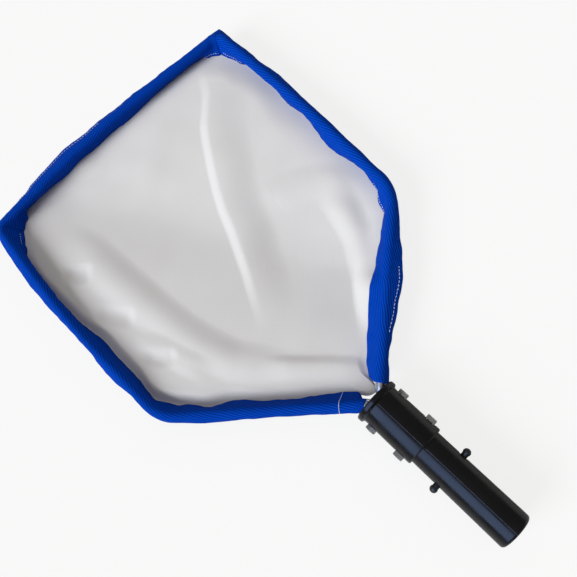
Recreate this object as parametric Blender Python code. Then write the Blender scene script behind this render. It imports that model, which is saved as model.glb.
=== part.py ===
"""Leaf skimmer net: a bent aluminium hoop in a webbing pocket that holds a shallow mesh bag,
bolted into a moulded handle whose rear tube snaps into a pole by two spring buttons.

It lies as it does on a poolside: mouth up, handle along -Y, net towards +Y. While it is built,
x = 0 is the handle's centre line, y = 0 is the mouth of the handle and z = 0 is the floor.
At the end the whole is moved so that the origin is under the middle of it. Metres throughout.
"""
import math

import bmesh
import bpy
import numpy as np
from mathutils import Vector

for old_object in list(bpy.data.objects):
    bpy.data.objects.remove(old_object, do_unlink=True)

# ---------------------------------------------------------------- driving dimensions
GAP = 0.0003                      # between pieces that touch

# hoop, measured along the centre of the rod
ROD_DIAMETER = 0.008
ROD_END_CHAMFER = 0.0006
ROD_SPACING = 0.0088              # between the two ends, side by side in the handle
ROD_DEPTH = 0.046                 # how far the ends reach into the handle
NECK_DEPTH = 0.001                # where the ends turn outwards, behind the mouth
NECK_BEND_RADIUS = 0.020
SHOULDER_WIDTH = 0.2744           # between the two rear corners
SHOULDER_REACH = 0.1122           # from the handle's mouth
SHOULDER_SHIFT = 0.0009           # the hoop is bent by hand, so it sits a little askew
SHOULDER_SKEW = math.radians(-3.65)
SHOULDER_BEND_RADIUS = 0.045
FRONT_WIDTH = 0.297               # between the two front corners
FRONT_REACH = 0.3731
FRONT_SHIFT = 0.0112
FRONT_SKEW = math.radians(-7.75)
FRONT_BEND_RADIUS = 0.012
LEFT_BOW = 0.005                  # how far the long sides bulge
FRONT_BOW = 0.008
RIGHT_BOW = 0.0025
BOW_EASE = 1.2                    # above 1, so that a bowed side leaves its corners in line

# webbing pocket round the rod
WEBBING_THICKNESS = 0.0007
POCKET_WIDTH = 0.028              # folded flat, from its fold to its seam
SEAM_HANG = 0.0125                # of its inner edge below the rod's centre, where it is wide enough
ROD_BUMP = 0.0015                 # webbing that the rod takes up, over its width seen from above
SLEEVE_SETBACK = 0.003            # of the pocket's ends from the neck bends
WING_DROOP = 0.22                 # fall of the outer edge for each metre of its reach
CORNER_EASE = 0.0016              # extra room round the rod where the pocket turns a mitred corner
CORNER_EASE_LENGTH = 0.012        # over which that room fades out along the straight

# how far the pocket's inner and outer edges lie from the rod's centre, along each stretch:
# (share of the stretch, reach); an inner edge of less than 0 is tucked under the rod
LEFT_INNER_REACH = [(0.0, 0.0112), (0.06, 0.0104), (0.12, 0.0086), (0.18, 0.0086), (0.24, 0.0110),
                    (0.29, 0.0066), (0.34, 0.0097), (0.385, 0.0086), (0.43, 0.0032), (0.50, 0.0053),
                    (0.615, 0.0068), (0.69, 0.0020), (0.85, -0.0016), (0.91, 0.0013), (0.95, 0.0066),
                    (1.0, 0.0110)]
LEFT_OUTER_REACH = [(0.0, 0.0058), (0.10, 0.0050), (0.20, 0.0052), (0.27, 0.0066), (0.33, 0.0055),
                    (0.44, 0.0050), (0.52, 0.0078), (0.60, 0.0050), (0.66, 0.0050), (0.75, 0.0070),
                    (0.83, 0.0080), (0.92, 0.0066), (1.0, 0.0046)]
FRONT_INNER_REACH = [(0.0, 0.0100), (0.05, 0.0065), (0.11, -0.0028), (0.17, -0.0034), (0.30, 0.0006),
                     (0.50, -0.0004), (0.58, 0.0010), (0.72, -0.0028), (0.85, -0.0040), (0.91, -0.0020),
                     (0.95, 0.0035), (1.0, 0.0085)]
FRONT_OUTER_REACH = [(0.0, 0.0046), (0.10, 0.0058), (0.15, 0.0075), (0.21, 0.0115), (0.35, 0.0160),
                     (0.45, 0.0125), (0.58, 0.0098), (0.75, 0.0073), (0.86, 0.0054), (1.0, 0.0046)]
RIGHT_INNER_REACH = [(0.0, 0.0105), (0.06, 0.0052), (0.11, 0.0004), (0.18, -0.0006), (0.25, 0.0040),
                     (0.31, 0.0023), (0.42, 0.0077), (0.52, 0.0014), (0.57, 0.0048), (0.615, 0.0100),
                     (0.645, 0.0076), (0.70, 0.0090), (0.76, 0.0112), (0.82, 0.0140), (0.91, 0.0142),
                     (0.96, 0.0128), (1.0, 0.0092)]
RIGHT_OUTER_REACH = [(0.0, 0.0046), (0.15, 0.0052), (0.22, 0.0070), (0.31, 0.0055), (0.64, 0.0050),
                     (0.70, 0.0073), (0.75, 0.0104), (0.80, 0.0120), (0.86, 0.0097), (0.92, 0.0063),
                     (0.95, 0.0052), (1.0, 0.0066)]

# mesh bag
MESH_THICKNESS = 0.0008
BAG_EASE_WIDTH = 0.012            # over which the bag leaves its rim
BAG_NECK_GAP = 0.006              # between the bag's rim and the handle's mouth, under the rods
BAG_NECK_DROP = 0.006             # of that rim below the rods
BAG_RINGS = (1.0, 0.965, 0.92, 0.86, 0.79, 0.71, 0.60, 0.46, 0.30, 0.16)
BOWL_MIDDLE = complex(-0.012, 0.215)
BOWL_FLAT = (0.034, 0.044)        # half sizes of the oval that lies on the floor
BOWL_CURVE = 0.7                  # radius of the rise round it
BOWL_HEIGHT = 0.012               # that its edges tend to
FOLD_REACH = 1.6                  # half widths at which a fold has died out
# soft folds in the bag: crest in plan, height, half width on the left of the way, on the right
BAG_FOLDS = [
    ([(-0.092, 0.362), (-0.096, 0.335), (-0.088, 0.305), (-0.087, 0.245), (-0.083, 0.200), (-0.074, 0.155)],
     0.0052, 0.032, 0.016),
    ([(-0.082, 0.185), (-0.072, 0.145), (-0.050, 0.105), (-0.025, 0.065), (0.000, 0.036)],
     0.0046, 0.015, 0.012),
    ([(0.114, 0.322), (0.080, 0.290), (0.060, 0.260), (0.042, 0.230), (0.014, 0.170), (0.001, 0.140),
      (-0.014, 0.108)], 0.0034, 0.026, 0.007),
    ([(0.103, 0.116), (0.075, 0.084), (0.050, 0.055)], 0.0032, 0.010, 0.009),
]

# moulded handle
FLANGE_RADIUS = 0.0192
FLANGE_THICKNESS = 0.0046
FLANGE_EDGE_ROUND = 0.0012
HOUSING_RADIUS = 0.0168
HOUSING_LENGTH = 0.0495
HOUSING_FILLET = 0.0015
HOUSING_REAR_CHAMFER = 0.0008
HOUSING_CORE_LENGTH = 0.026       # solid front part, which grips the rods
FUNNEL_DEPTH = 0.010              # the mouth flares so that the rods can turn
FUNNEL_HALF_WIDTH = 0.0150
FUNNEL_HALF_HEIGHT = 0.0075
TUBE_RADIUS = 0.0143              # fits a 32 mm pole
TUBE_WALL = 0.0025
TUBE_LENGTH = 0.0793              # that shows behind the housing
TUBE_END_ROUND = 0.0020
ROUND_SEGMENTS = 40

# bolts through the handle, the rods and the tube (M5)
FRONT_BOLT_DEPTH = 0.013          # behind the mouth
REAR_BOLT_DEPTH = 0.040
BOLT_DIAMETER = 0.005
HEX_ACROSS_FLATS = 0.008
HEAD_HEIGHT = 0.0035
NUT_HEIGHT = 0.0037
HEX_CHAMFER = 0.0004
BOLT_TIP = 0.0002                 # past the nut
SEAT_DEPTH = 0.0008               # of the flat seats cut in the round housing
SEAT_RADIUS = 0.0054

# snap clip: a U-shaped leaf spring that carries two ball-ended buttons
SPRING_THICKNESS = 0.0008
SPRING_WIDTH = 0.009
BEND_RADIUS = 0.0085
BEND_DEPTH = 0.0123               # of the bend's centre, inside the tube's open end
SPRING_TIP_LENGTH = 0.0065        # past the buttons
BUTTON_DEPTH = 0.0562             # of the buttons, from the tube's open end
BUTTON_NECK_RADIUS = 0.0025
BUTTON_BALL_RADIUS = 0.0030
BUTTON_STAND = 0.0063             # of the ball above the tube
RIVET_SHANK_RADIUS = 0.0012
RIVET_HEAD_RADIUS = 0.0022
RIVET_HEAD_THICKNESS = 0.0008
BUTTON_HOLE_RADIUS = 0.0038

# ---------------------------------------------------------------- sizes that follow
AXIS_HEIGHT = FLANGE_RADIUS                       # the flange stands on the floor
ROD_RADIUS = ROD_DIAMETER / 2
LOOP_INNER_RADIUS = ROD_RADIUS + GAP
LOOP_OUTER_RADIUS = LOOP_INNER_RADIUS + WEBBING_THICKNESS
TUBE_BORE_RADIUS = TUBE_RADIUS - TUBE_WALL
TUBE_END_Y = -(HOUSING_LENGTH + TUBE_LENGTH)
BOLT_HOLE_RADIUS = BOLT_DIAMETER / 2 + GAP
SEAT_X = HOUSING_RADIUS - SEAT_DEPTH
HEX_CORNER_RADIUS = HEX_ACROSS_FLATS / 2 / math.cos(math.radians(30))

# ---------------------------------------------------------------- materials and objects


def make_material(name, colour, roughness, metallic=0.0):
    """A plain Principled material."""
    material = bpy.data.materials.new(name)
    material.use_nodes = True
    shader = material.node_tree.nodes["Principled BSDF"]
    shader.inputs["Base Color"].default_value = (*colour, 1.0)
    shader.inputs["Roughness"].default_value = roughness
    shader.inputs["Metallic"].default_value = metallic
    return material


def make_assembly():
    """The empty that carries every piece."""
    empty = bpy.data.objects.new("assembly", None)
    bpy.context.collection.objects.link(empty)
    return empty


def add_object(name, mesh, material, origin=(0.0, 0.0, 0.0), smooth_angle=35.0):
    """Links a mesh whose points are relative to origin, with its faces pointing outwards."""
    work = bmesh.new()
    work.from_mesh(mesh)
    bmesh.ops.recalc_face_normals(work, faces=work.faces)
    work.to_mesh(mesh)
    work.free()
    mesh.materials.append(material)
    mesh.shade_smooth()
    mesh.set_sharp_from_angle(angle=math.radians(smooth_angle))
    thing = bpy.data.objects.new(name, mesh)
    thing.location = origin
    thing.parent = assembly
    bpy.context.collection.objects.link(thing)
    return thing


def mesh_from(name, points, faces, origin=(0.0, 0.0, 0.0)):
    """A mesh of points in the building frame, stored relative to origin."""
    mesh = bpy.data.meshes.new(name)
    shifted = np.asarray(points, dtype=float) - np.asarray(origin, dtype=float)
    mesh.from_pydata([tuple(point) for point in shifted], [], faces)
    return mesh


def cut(target, cutter):
    """Takes a hidden cutter out of a piece."""
    cutter.hide_render = True
    cutter.display_type = 'WIRE'
    modifier = target.modifiers.new("cut_" + cutter.name, 'BOOLEAN')
    modifier.operation = 'DIFFERENCE'
    modifier.object = cutter
    modifier.solver = 'EXACT'


def lathe(name, profile, centre, direction, segments, origin=(0.0, 0.0, 0.0)):
    """Turns (radius, distance) points about a line from centre along direction.

    A point of radius 0 becomes a pole. A profile that has none closes on itself as a ring.
    """
    direction = Vector(direction).normalized()
    side = direction.orthogonal().normalized()
    if abs(direction.z) < 0.5:
        side = Vector((0.0, 0.0, -1.0))          # a vertex at the very bottom
    across = direction.cross(side)
    points, rings, faces = [], [], []
    for radius, distance in profile:
        middle = Vector(centre) + direction * distance
        if radius == 0.0:
            rings.append([len(points)])
            points.append(tuple(middle))
            continue
        first = len(points)
        rings.append(list(range(first, first + segments)))
        for step in range(segments):
            angle = 2 * math.pi * step / segments
            points.append(tuple(middle + (side * math.cos(angle) + across * math.sin(angle)) * radius))
    pairs = list(zip(rings[:-1], rings[1:]))
    if all(radius > 0.0 for radius, _ in profile):
        pairs.append((rings[-1], rings[0]))
    for ring_a, ring_b in pairs:
        for step in range(segments):
            after = (step + 1) % segments
            corners = [ring_a[step % len(ring_a)], ring_a[after % len(ring_a)],
                       ring_b[after % len(ring_b)], ring_b[step % len(ring_b)]]
            face = list(dict.fromkeys(corners))
            if len(face) > 2:
                faces.append(face)
    return mesh_from(name, points, faces, origin)


def loft(name, loops, origin=(0.0, 0.0, 0.0)):
    """Joins equal loops of points in order, with a flat cap at each end."""
    count = len(loops[0])
    points = [point for loop in loops for point in loop]
    faces = []
    for row in range(len(loops) - 1):
        for step in range(count):
            after = (step + 1) % count
            faces.append([row * count + step, row * count + after,
                          (row + 1) * count + after, (row + 1) * count + step])
    faces.append(list(range(count)))
    faces.append(list(range((len(loops) - 1) * count, len(loops) * count)))
    return mesh_from(name, points, faces, origin)


def quarter_round(corner, start_angle, end_angle, radius, steps=3):
    """Points (radius, distance) on an arc about corner, for a lathe profile."""
    angles = np.linspace(math.radians(start_angle), math.radians(end_angle), steps + 1)
    return [(corner[0] + radius * math.cos(a), corner[1] + radius * math.sin(a)) for a in angles]


# ---------------------------------------------------------------- the hoop's line
# Plan view points are complex numbers: x + iy.


def corner_pair(width, reach, shift, skew):
    """The left and right ends of a line of that width, centred at (shift, reach) and turned."""
    middle = complex(shift, reach)
    half = width / 2 * complex(math.cos(skew), math.sin(skew))
    return middle - half, middle + half


shoulder_left, shoulder_right = corner_pair(SHOULDER_WIDTH, SHOULDER_REACH, SHOULDER_SHIFT, SHOULDER_SKEW)
front_left, front_right = corner_pair(FRONT_WIDTH, FRONT_REACH, FRONT_SHIFT, FRONT_SKEW)
neck_left = complex(-ROD_SPACING / 2, -NECK_DEPTH)
neck_right = complex(ROD_SPACING / 2, -NECK_DEPTH)
rod_end_left = complex(-ROD_SPACING / 2, -ROD_DEPTH)
rod_end_right = complex(ROD_SPACING / 2, -ROD_DEPTH)


class Corner:
    """A rounded corner of the rod: where its arc starts and ends, its centre and its turn."""

    def __init__(self, before, at, after, radius):
        self.at = at
        self.radius = radius
        self.way_in = (at - before) / abs(at - before)
        self.way_out = (after - at) / abs(after - at)
        self.turn = math.atan2((self.way_out / self.way_in).imag, (self.way_out / self.way_in).real)
        self.trim = radius * math.tan(abs(self.turn) / 2)
        self.start = at - self.way_in * self.trim
        self.end = at + self.way_out * self.trim
        self.side = 1j if self.turn > 0 else -1j
        self.centre = self.start + self.way_in * self.side * radius
        self.length = radius * abs(self.turn)

    def point(self, share):
        """On the arc, from 0 at its start to 1 at its end."""
        swing = math.copysign(1.0, self.turn) * abs(self.turn) * share
        return self.centre + (self.start - self.centre) * complex(math.cos(swing), math.sin(swing))


neck_bend_left = Corner(rod_end_left, neck_left, shoulder_left, NECK_BEND_RADIUS)
shoulder_bend_left = Corner(neck_left, shoulder_left, front_left, SHOULDER_BEND_RADIUS)
front_bend_left = Corner(shoulder_left, front_left, front_right, FRONT_BEND_RADIUS)
front_bend_right = Corner(front_left, front_right, shoulder_right, FRONT_BEND_RADIUS)
shoulder_bend_right = Corner(front_right, shoulder_right, neck_right, SHOULDER_BEND_RADIUS)
neck_bend_right = Corner(shoulder_right, neck_right, rod_end_right, NECK_BEND_RADIUS)


def bowed_offsets(start, end, steps, bow):
    """How far the points of a side are pushed to the left of its way, most of all in its middle."""
    way = (end - start) / abs(end - start)
    return [way * 1j * bow * abs(math.sin(math.pi * step / steps)) ** BOW_EASE for step in range(steps + 1)]


def straight(start, end, steps, bow=0.0):
    """Points from start to end, bulging to the left of the way by bow in the middle."""
    offsets = bowed_offsets(start, end, steps, bow)
    return [start + (end - start) * step / steps + offset for step, offset in enumerate(offsets)]


def arc(corner, steps, start_share=0.0, end_share=1.0):
    """Points along a corner's arc."""
    return [corner.point(s) for s in np.linspace(start_share, end_share, steps + 1)]


def without_repeats(points):
    """Drops a point that repeats the one before it."""
    kept = [points[0]]
    for point in points[1:]:
        if abs(point - kept[-1]) > 1e-7:
            kept.append(point)
    return kept


SIDE_STEPS = 13
rod_line = without_repeats(
    [rod_end_left] + arc(neck_bend_left, 6)
    + arc(shoulder_bend_left, 6)
    + straight(shoulder_bend_left.end, front_bend_left.start, SIDE_STEPS, LEFT_BOW)
    + arc(front_bend_left, 10)
    + straight(front_bend_left.end, front_bend_right.start, SIDE_STEPS, FRONT_BOW)
    + arc(front_bend_right, 10)
    + straight(front_bend_right.end, shoulder_bend_right.start, SIDE_STEPS, RIGHT_BOW)
    + arc(shoulder_bend_right, 6)
    + arc(neck_bend_right, 6) + [rod_end_right])


def plan_directions(line):
    """The way along a line at each of its points."""
    ways = []
    for index in range(len(line)):
        before = line[max(index - 1, 0)]
        after = line[min(index + 1, len(line) - 1)]
        ways.append((after - before) / abs(after - before))
    return ways


# ---------------------------------------------------------------- frame hoop


def rod_mesh():
    """Sweeps the rod's round section along its line, with chamfered ends."""
    sides = 10
    line = list(rod_line)
    ways = plan_directions(line)
    first_way = (line[1] - line[0]) / abs(line[1] - line[0])
    last_way = (line[-1] - line[-2]) / abs(line[-1] - line[-2])
    radii = [ROD_RADIUS] * len(line)
    line = [line[0], line[0] + first_way * ROD_END_CHAMFER] + line[1:-1] \
        + [line[-1] - last_way * ROD_END_CHAMFER, line[-1]]
    ways = [first_way, first_way] + ways[1:-1] + [last_way, last_way]
    radii = [ROD_RADIUS - ROD_END_CHAMFER, ROD_RADIUS] + radii[1:-1] + [ROD_RADIUS, ROD_RADIUS - ROD_END_CHAMFER]
    loops = []
    for place, way, radius in zip(line, ways, radii):
        across = way * 1j
        loop = []
        for step in range(sides):
            angle = 2 * math.pi * (step + 0.5) / sides
            spot = place + across * radius * math.cos(angle)
            loop.append((spot.real, spot.imag, AXIS_HEIGHT + radius * math.sin(angle)))
        loops.append(loop)
    return loft("frame_hoop", loops)


# ---------------------------------------------------------------- webbing pocket
HANGING_ANGLE = math.radians(-57)     # of the pocket's seam, seen from the rod, at its ends
OUTLINE_POINTS = 16                   # round the pocket's outside, and as many round its hole


def reach_at(table, share):
    """The reach at a share of a stretch, eased between the table's points."""
    shares = [row[0] for row in table]
    index = int(np.clip(np.searchsorted(shares, share) - 1, 0, len(table) - 2))
    part = (share - shares[index]) / (shares[index + 1] - shares[index])
    eased = part * part * (3.0 - 2.0 * part)
    return table[index][1] + (table[index + 1][1] - table[index][1]) * eased


def edge_point(start, end, way_in_tilt, way_out_tilt, share, offset, side):
    """A point at offset to one side of a straight run, between its two slanting ends.

    The tilts say how far each end shifts along the run for each metre of offset, so that the
    run ends on the slanting plane that it shares with its neighbour.
    """
    length = abs(end - start)
    way = (end - start) / length
    low = offset * way_in_tilt
    high = length - offset * way_out_tilt
    return start + way * (low + (high - low) * share) + way * side * offset


def pocket_section(centre, way_along, inner, outer, inner_height, outer_height, ease):
    """Outer and inner outlines of the pocket where the rod is at centre.

    Each is a list of (plan point, height). The outer outline wraps the rod's loop and the two
    edges of the flattened pocket, the inner one is the round hole for the rod. ease widens both.
    """
    count = OUTLINE_POINTS
    hole_radius = LOOP_INNER_RADIUS + ease
    loop_radius = LOOP_OUTER_RADIUS + ease
    spread = (inner - outer) / abs(inner - outer)
    slant = abs((spread / (way_along * 1j)).real)
    stretch = 1.0 / max(slant, 0.5)
    half_fold = WEBBING_THICKNESS
    inner_flat = ((inner - centre) / spread).real
    outer_flat = ((outer - centre) / spread).real
    angles = np.linspace(0, 2 * math.pi, 48, endpoint=False)
    cloud = [(loop_radius * stretch * math.cos(a), loop_radius * math.sin(a)) for a in angles]
    cloud += [(inner_flat, inner_height + half_fold), (inner_flat, inner_height - half_fold)]
    cloud += [(outer_flat, outer_height + half_fold), (outer_flat, outer_height - half_fold)]
    hull = convex_outline(cloud)
    inner_angle = math.atan2(inner_height, inner_flat)
    outer_angle = math.atan2(outer_height, outer_flat) % (2 * math.pi)
    outline, hole = [], []
    for angle in angles_between(inner_angle, outer_angle, count):
        across, up = ray_to_outline(hull, angle)
        outline.append((centre + spread * across, AXIS_HEIGHT + up))
    # the hole's points keep their angles from section to section, so that it stays round between
    for angle in angles_between(HANGING_ANGLE, math.pi, count):
        hole.append((centre + spread * hole_radius * stretch * math.cos(angle),
                     AXIS_HEIGHT + hole_radius * math.sin(angle)))
    return outline, hole


def angles_between(first, second, count):
    """Angles once round: half of them from first over the top to second, half back below."""
    upper = np.linspace(first, second, count // 2, endpoint=False)
    lower = np.linspace(second, first + 2 * math.pi, count // 2, endpoint=False)
    return list(upper) + list(lower)


def convex_outline(cloud):
    """The convex outline of a set of flat points, anticlockwise."""
    ordered = sorted(set(cloud))

    def half(points):
        chain = []
        for point in points:
            while len(chain) > 1 and cross(chain[-2], chain[-1], point) <= 0:
                chain.pop()
            chain.append(point)
        return chain[:-1]

    return half(ordered) + half(ordered[::-1])


def cross(a, b, c):
    """Twice the signed area of a flat triangle."""
    return (b[0] - a[0]) * (c[1] - a[1]) - (b[1] - a[1]) * (c[0] - a[0])


def ray_to_outline(outline, angle):
    """Where a ray from the middle leaves a convex outline."""
    dx, dy = math.cos(angle), math.sin(angle)
    best = 0.0
    for (ax, ay), (bx, by) in zip(outline, outline[1:] + outline[:1]):
        ex, ey = bx - ax, by - ay
        bottom = dx * ey - dy * ex
        if abs(bottom) < 1e-15:
            continue
        along = (ax * ey - ay * ex) / bottom
        part = (ax * dy - ay * dx) / bottom
        if -1e-9 <= part <= 1.0 + 1e-9:
            best = max(best, along)
    return dx * best, dy * best


def seam_height(inner_reach, outer_reach):
    """How far the pocket's inner edge lies below the rod's centre: as low as its width allows."""
    left_over = POCKET_WIDTH - outer_reach - ROD_BUMP
    return -min(math.sqrt(max(left_over ** 2 - inner_reach ** 2, 0.0)), SEAM_HANG)


def wing_height(outer_reach):
    """How far the pocket's outer edge lies below the rod's centre."""
    return -WING_DROOP * max(outer_reach - LOOP_OUTER_RADIUS, 0.0)


def pocket_mesh(name, stations):
    """Lofts the pocket through its stations: outlines outside, the rod's hole inside."""
    count = OUTLINE_POINTS
    points, faces = [], []
    for outline, hole in stations:
        points += [(p.real, p.imag, z) for p, z in outline]
        points += [(p.real, p.imag, z) for p, z in hole]
    row_size = 2 * count
    rows = len(stations)
    for row in range(rows - 1):
        for ring in (0, count):
            for step in range(count):
                after = (step + 1) % count
                faces.append([row * row_size + ring + step, row * row_size + ring + after,
                              (row + 1) * row_size + ring + after, (row + 1) * row_size + ring + step])
    for row in (0, rows - 1):
        for step in range(count):
            after = (step + 1) % count
            faces.append([row * row_size + step, row * row_size + after,
                          row * row_size + count + after, row * row_size + count + step])
    return mesh_from(name, points, faces)


class Stretch:
    """One sewn length of the pocket: rod centres, inner edges and outer edges, station by station."""

    def __init__(self, inner_table, outer_table):
        self.tables = inner_table, outer_table
        self.rows = []

    def add(self, centre, way, place_edge, ease=0.0):
        """Adds a station; place_edge(offset) gives the plan point at an offset to the inside."""
        self.rows.append((centre, way, place_edge, ease))

    def stations(self):
        """The pocket's sections, with the reach read from the share of the length covered."""
        centres = [row[0] for row in self.rows]
        steps = [0.0] + [abs(b - a) for a, b in zip(centres[:-1], centres[1:])]
        travelled = np.cumsum(steps) / sum(steps)
        sections, rim = [], []
        for (centre, way, place_edge, ease), share in zip(self.rows, travelled):
            inner_reach, outer_reach = [reach_at(table, share) for table in self.tables]
            inner = place_edge(inner_reach)
            outer = place_edge(-outer_reach)
            low = seam_height(inner_reach, outer_reach)
            sections.append(pocket_section(centre, way, inner, outer, low, wing_height(outer_reach), ease))
            rim.append((inner, AXIS_HEIGHT + low, (inner - outer) / abs(inner - outer)))
        return sections, rim


# The hoop runs clockwise seen from above, from the left end of the rod by the left side, the
# front and the right side to the right end, so the inside of the hoop is always on its right.
INSIDE = -1j


def add_straight(stretch, start, end, steps, tilt_in, tilt_out, corner_in=None, corner_out=None, bow=0.0):
    """A straight run of the pocket; where a mitred corner begins or ends it, it covers half of
    that corner's bend, and its edges end on the corner's slanting plane."""
    rod = straight(start, end, steps, bow)
    lifts = bowed_offsets(start, end, steps, bow)
    if corner_in is not None:
        rod = arc(corner_in, 5, 0.5, 1.0)[:-1] + rod
        lifts = [0j] * 5 + lifts
    if corner_out is not None:
        rod = rod + arc(corner_out, 5, 0.0, 0.5)[1:]
        lifts = lifts + [0j] * 5
    ways = plan_directions(rod)
    base_start = corner_in.at if corner_in is not None else start
    base_end = corner_out.at if corner_out is not None else end
    hold_back = GAP / abs(base_end - base_start)
    lengths = np.cumsum([0.0] + [abs(b - a) for a, b in zip(rod[:-1], rod[1:])])
    shares = lengths / lengths[-1]
    if corner_in is not None:
        shares[0] = hold_back
        rod[0] = rod[0] + ways[0] * GAP
    if corner_out is not None:
        shares[-1] = 1.0 - hold_back
        rod[-1] = rod[-1] - ways[-1] * GAP
    for centre, direction, share, travelled, lift in zip(rod, ways, shares, lengths, lifts):
        ease = 0.0
        if corner_in is not None:
            ease = max(ease, corner_ease(travelled - corner_in.length / 2))
        if corner_out is not None:
            ease = max(ease, corner_ease(lengths[-1] - travelled - corner_out.length / 2))

        def place_edge(offset, share=share, lift=lift):
            return lift + edge_point(base_start, base_end, tilt_in, tilt_out, share, offset, INSIDE)

        stretch.add(centre, direction, place_edge, ease)


def corner_ease(distance):
    """Extra room at a distance along the straight from a mitred corner's bend."""
    return CORNER_EASE * float(np.clip(1.0 - distance / CORNER_EASE_LENGTH, 0.0, 1.0))


def add_bend(stretch, corner, steps):
    """A rounded corner of the pocket; its edges keep their distance from the rod."""
    points = arc(corner, steps)
    for centre in points[1:-1]:
        outwards = (centre - corner.centre) / corner.radius
        stretch.add(centre, outwards * -1j, lambda offset, c=centre, o=outwards: c - o * offset)


def pocket_stretches():
    """The three sewn lengths of the pocket."""
    mitre_left = math.tan(abs(front_bend_left.turn) / 2)
    mitre_right = math.tan(abs(front_bend_right.turn) / 2)
    left = Stretch(LEFT_INNER_REACH, LEFT_OUTER_REACH)
    way = neck_bend_left.way_out
    add_straight(left, neck_bend_left.end + way * SLEEVE_SETBACK, shoulder_bend_left.start, 8, 0.0, 0.0)
    add_bend(left, shoulder_bend_left, 6)
    add_straight(left, shoulder_bend_left.end, front_bend_left.start, SIDE_STEPS, 0.0, mitre_left,
                 corner_out=front_bend_left, bow=LEFT_BOW)
    front = Stretch(FRONT_INNER_REACH, FRONT_OUTER_REACH)
    add_straight(front, front_bend_left.end, front_bend_right.start, SIDE_STEPS, mitre_left, mitre_right,
                 corner_in=front_bend_left, corner_out=front_bend_right, bow=FRONT_BOW)
    right = Stretch(RIGHT_INNER_REACH, RIGHT_OUTER_REACH)
    add_straight(right, front_bend_right.end, shoulder_bend_right.start, SIDE_STEPS, mitre_right, 0.0,
                 corner_in=front_bend_right, bow=RIGHT_BOW)
    add_bend(right, shoulder_bend_right, 6)
    way = neck_bend_right.way_in
    add_straight(right, shoulder_bend_right.end, neck_bend_right.start - way * SLEEVE_SETBACK, 8, 0.0, 0.0)
    return left, front, right


# ---------------------------------------------------------------- mesh bag


def fold_height(x, y, line, height, left_width, right_width):
    """Height of a fold at plan points: full on its crest, fading to both sides and at its ends."""
    line = np.array(line)
    spans = np.linalg.norm(np.diff(line, axis=0), axis=1)
    before = np.concatenate([[0.0], np.cumsum(spans)[:-1]])
    nearest, side, share = np.full(x.shape, np.inf), np.zeros(x.shape), np.zeros(x.shape)
    for (ax, ay), (bx, by), span, passed in zip(line[:-1], line[1:], spans, before):
        along = np.clip(((x - ax) * (bx - ax) + (y - ay) * (by - ay)) / span ** 2, 0.0, 1.0)
        dx, dy = x - ax - along * (bx - ax), y - ay - along * (by - ay)
        closer = np.hypot(dx, dy) < nearest
        nearest = np.where(closer, np.hypot(dx, dy), nearest)
        side = np.where(closer, (bx - ax) * dy - (by - ay) * dx, side)
        share = np.where(closer, (passed + along * span) / spans.sum(), share)
    width = np.where(side > 0, left_width, right_width)
    fade = np.sin(np.pi / 2 * np.clip(np.minimum(share / 0.15, (1.0 - share) / 0.25), 0.0, 1.0))
    return height * np.maximum(1.0 - (nearest / (FOLD_REACH * width)) ** 2, 0.0) ** 2 * fade


def bag_height(x, y):
    """Height of the bag's middle layer away from its rim: a shallow bowl with soft folds in it."""
    outside = np.hypot((x - BOWL_MIDDLE.real) / BOWL_FLAT[0], (y - BOWL_MIDDLE.imag) / BOWL_FLAT[1]) - 1.0
    rise = (np.maximum(outside, 0.0) * BOWL_FLAT[0]) ** 2 / (2 * BOWL_CURVE)
    height = MESH_THICKNESS / 2 + BOWL_HEIGHT * (1.0 - np.exp(-rise / BOWL_HEIGHT))
    return height + sum(fold_height(x, y, *fold) for fold in BAG_FOLDS)


def bag_mesh(rim):
    """A shallow dish of mesh: its rim follows the pocket's inner edge and its middle lies on the floor.

    rim holds, for each station, the pocket's inner edge in plan, its height and the way inwards.
    """
    clear = WEBBING_THICKNESS / 2 + MESH_THICKNESS / 2 + GAP
    edge = [(place + inwards * clear, height) for place, height, inwards in rim]
    neck_height = AXIS_HEIGHT - ROD_RADIUS - BAG_NECK_DROP
    last, first = edge[-1][0], edge[0][0]
    for share in (0.25, 0.5, 0.75):
        place = last + (first - last) * share
        edge.append((complex(place.real, max(place.imag, BAG_NECK_GAP)), neck_height))
    middle = BOWL_MIDDLE
    places = np.array([place for place, _ in edge])
    rim_heights = np.array([height for _, height in edge])
    share = np.array(BAG_RINGS)[:, None]
    plan = middle + (places - middle) * share
    part = np.clip((1.0 - share) * np.abs(places - middle) / BAG_EASE_WIDTH, 0.0, 1.0)
    ease = part * part * (3.0 - 2.0 * part)
    heights = rim_heights + (bag_height(plan.real, plan.imag) - rim_heights) * ease
    grid = np.stack([plan.real, plan.imag, heights], axis=-1)
    normals = bag_normals(grid)
    upper = grid + normals * MESH_THICKNESS / 2
    lower = grid - normals * MESH_THICKNESS / 2
    lower[:, :, 2] = np.maximum(lower[:, :, 2], 0.0)
    count, depth = grid.shape[1], grid.shape[0]
    points = [tuple(p) for p in upper.reshape(-1, 3)] + [tuple(p) for p in lower.reshape(-1, 3)]
    centre_up = len(points)
    points += [(middle.real, middle.imag, MESH_THICKNESS), (middle.real, middle.imag, 0.0)]
    faces = []
    for layer in (0, depth * count):
        for row in range(depth - 1):
            for step in range(count):
                after = (step + 1) % count
                faces.append([layer + row * count + step, layer + row * count + after,
                              layer + (row + 1) * count + after, layer + (row + 1) * count + step])
    for step in range(count):
        after = (step + 1) % count
        inner_row = (depth - 1) * count
        faces.append([inner_row + step, inner_row + after, centre_up])
        faces.append([depth * count + inner_row + step, depth * count + inner_row + after, centre_up + 1])
        faces.append([step, after, depth * count + after, depth * count + step])
    return mesh_from("mesh_bag", points, faces)


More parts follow.
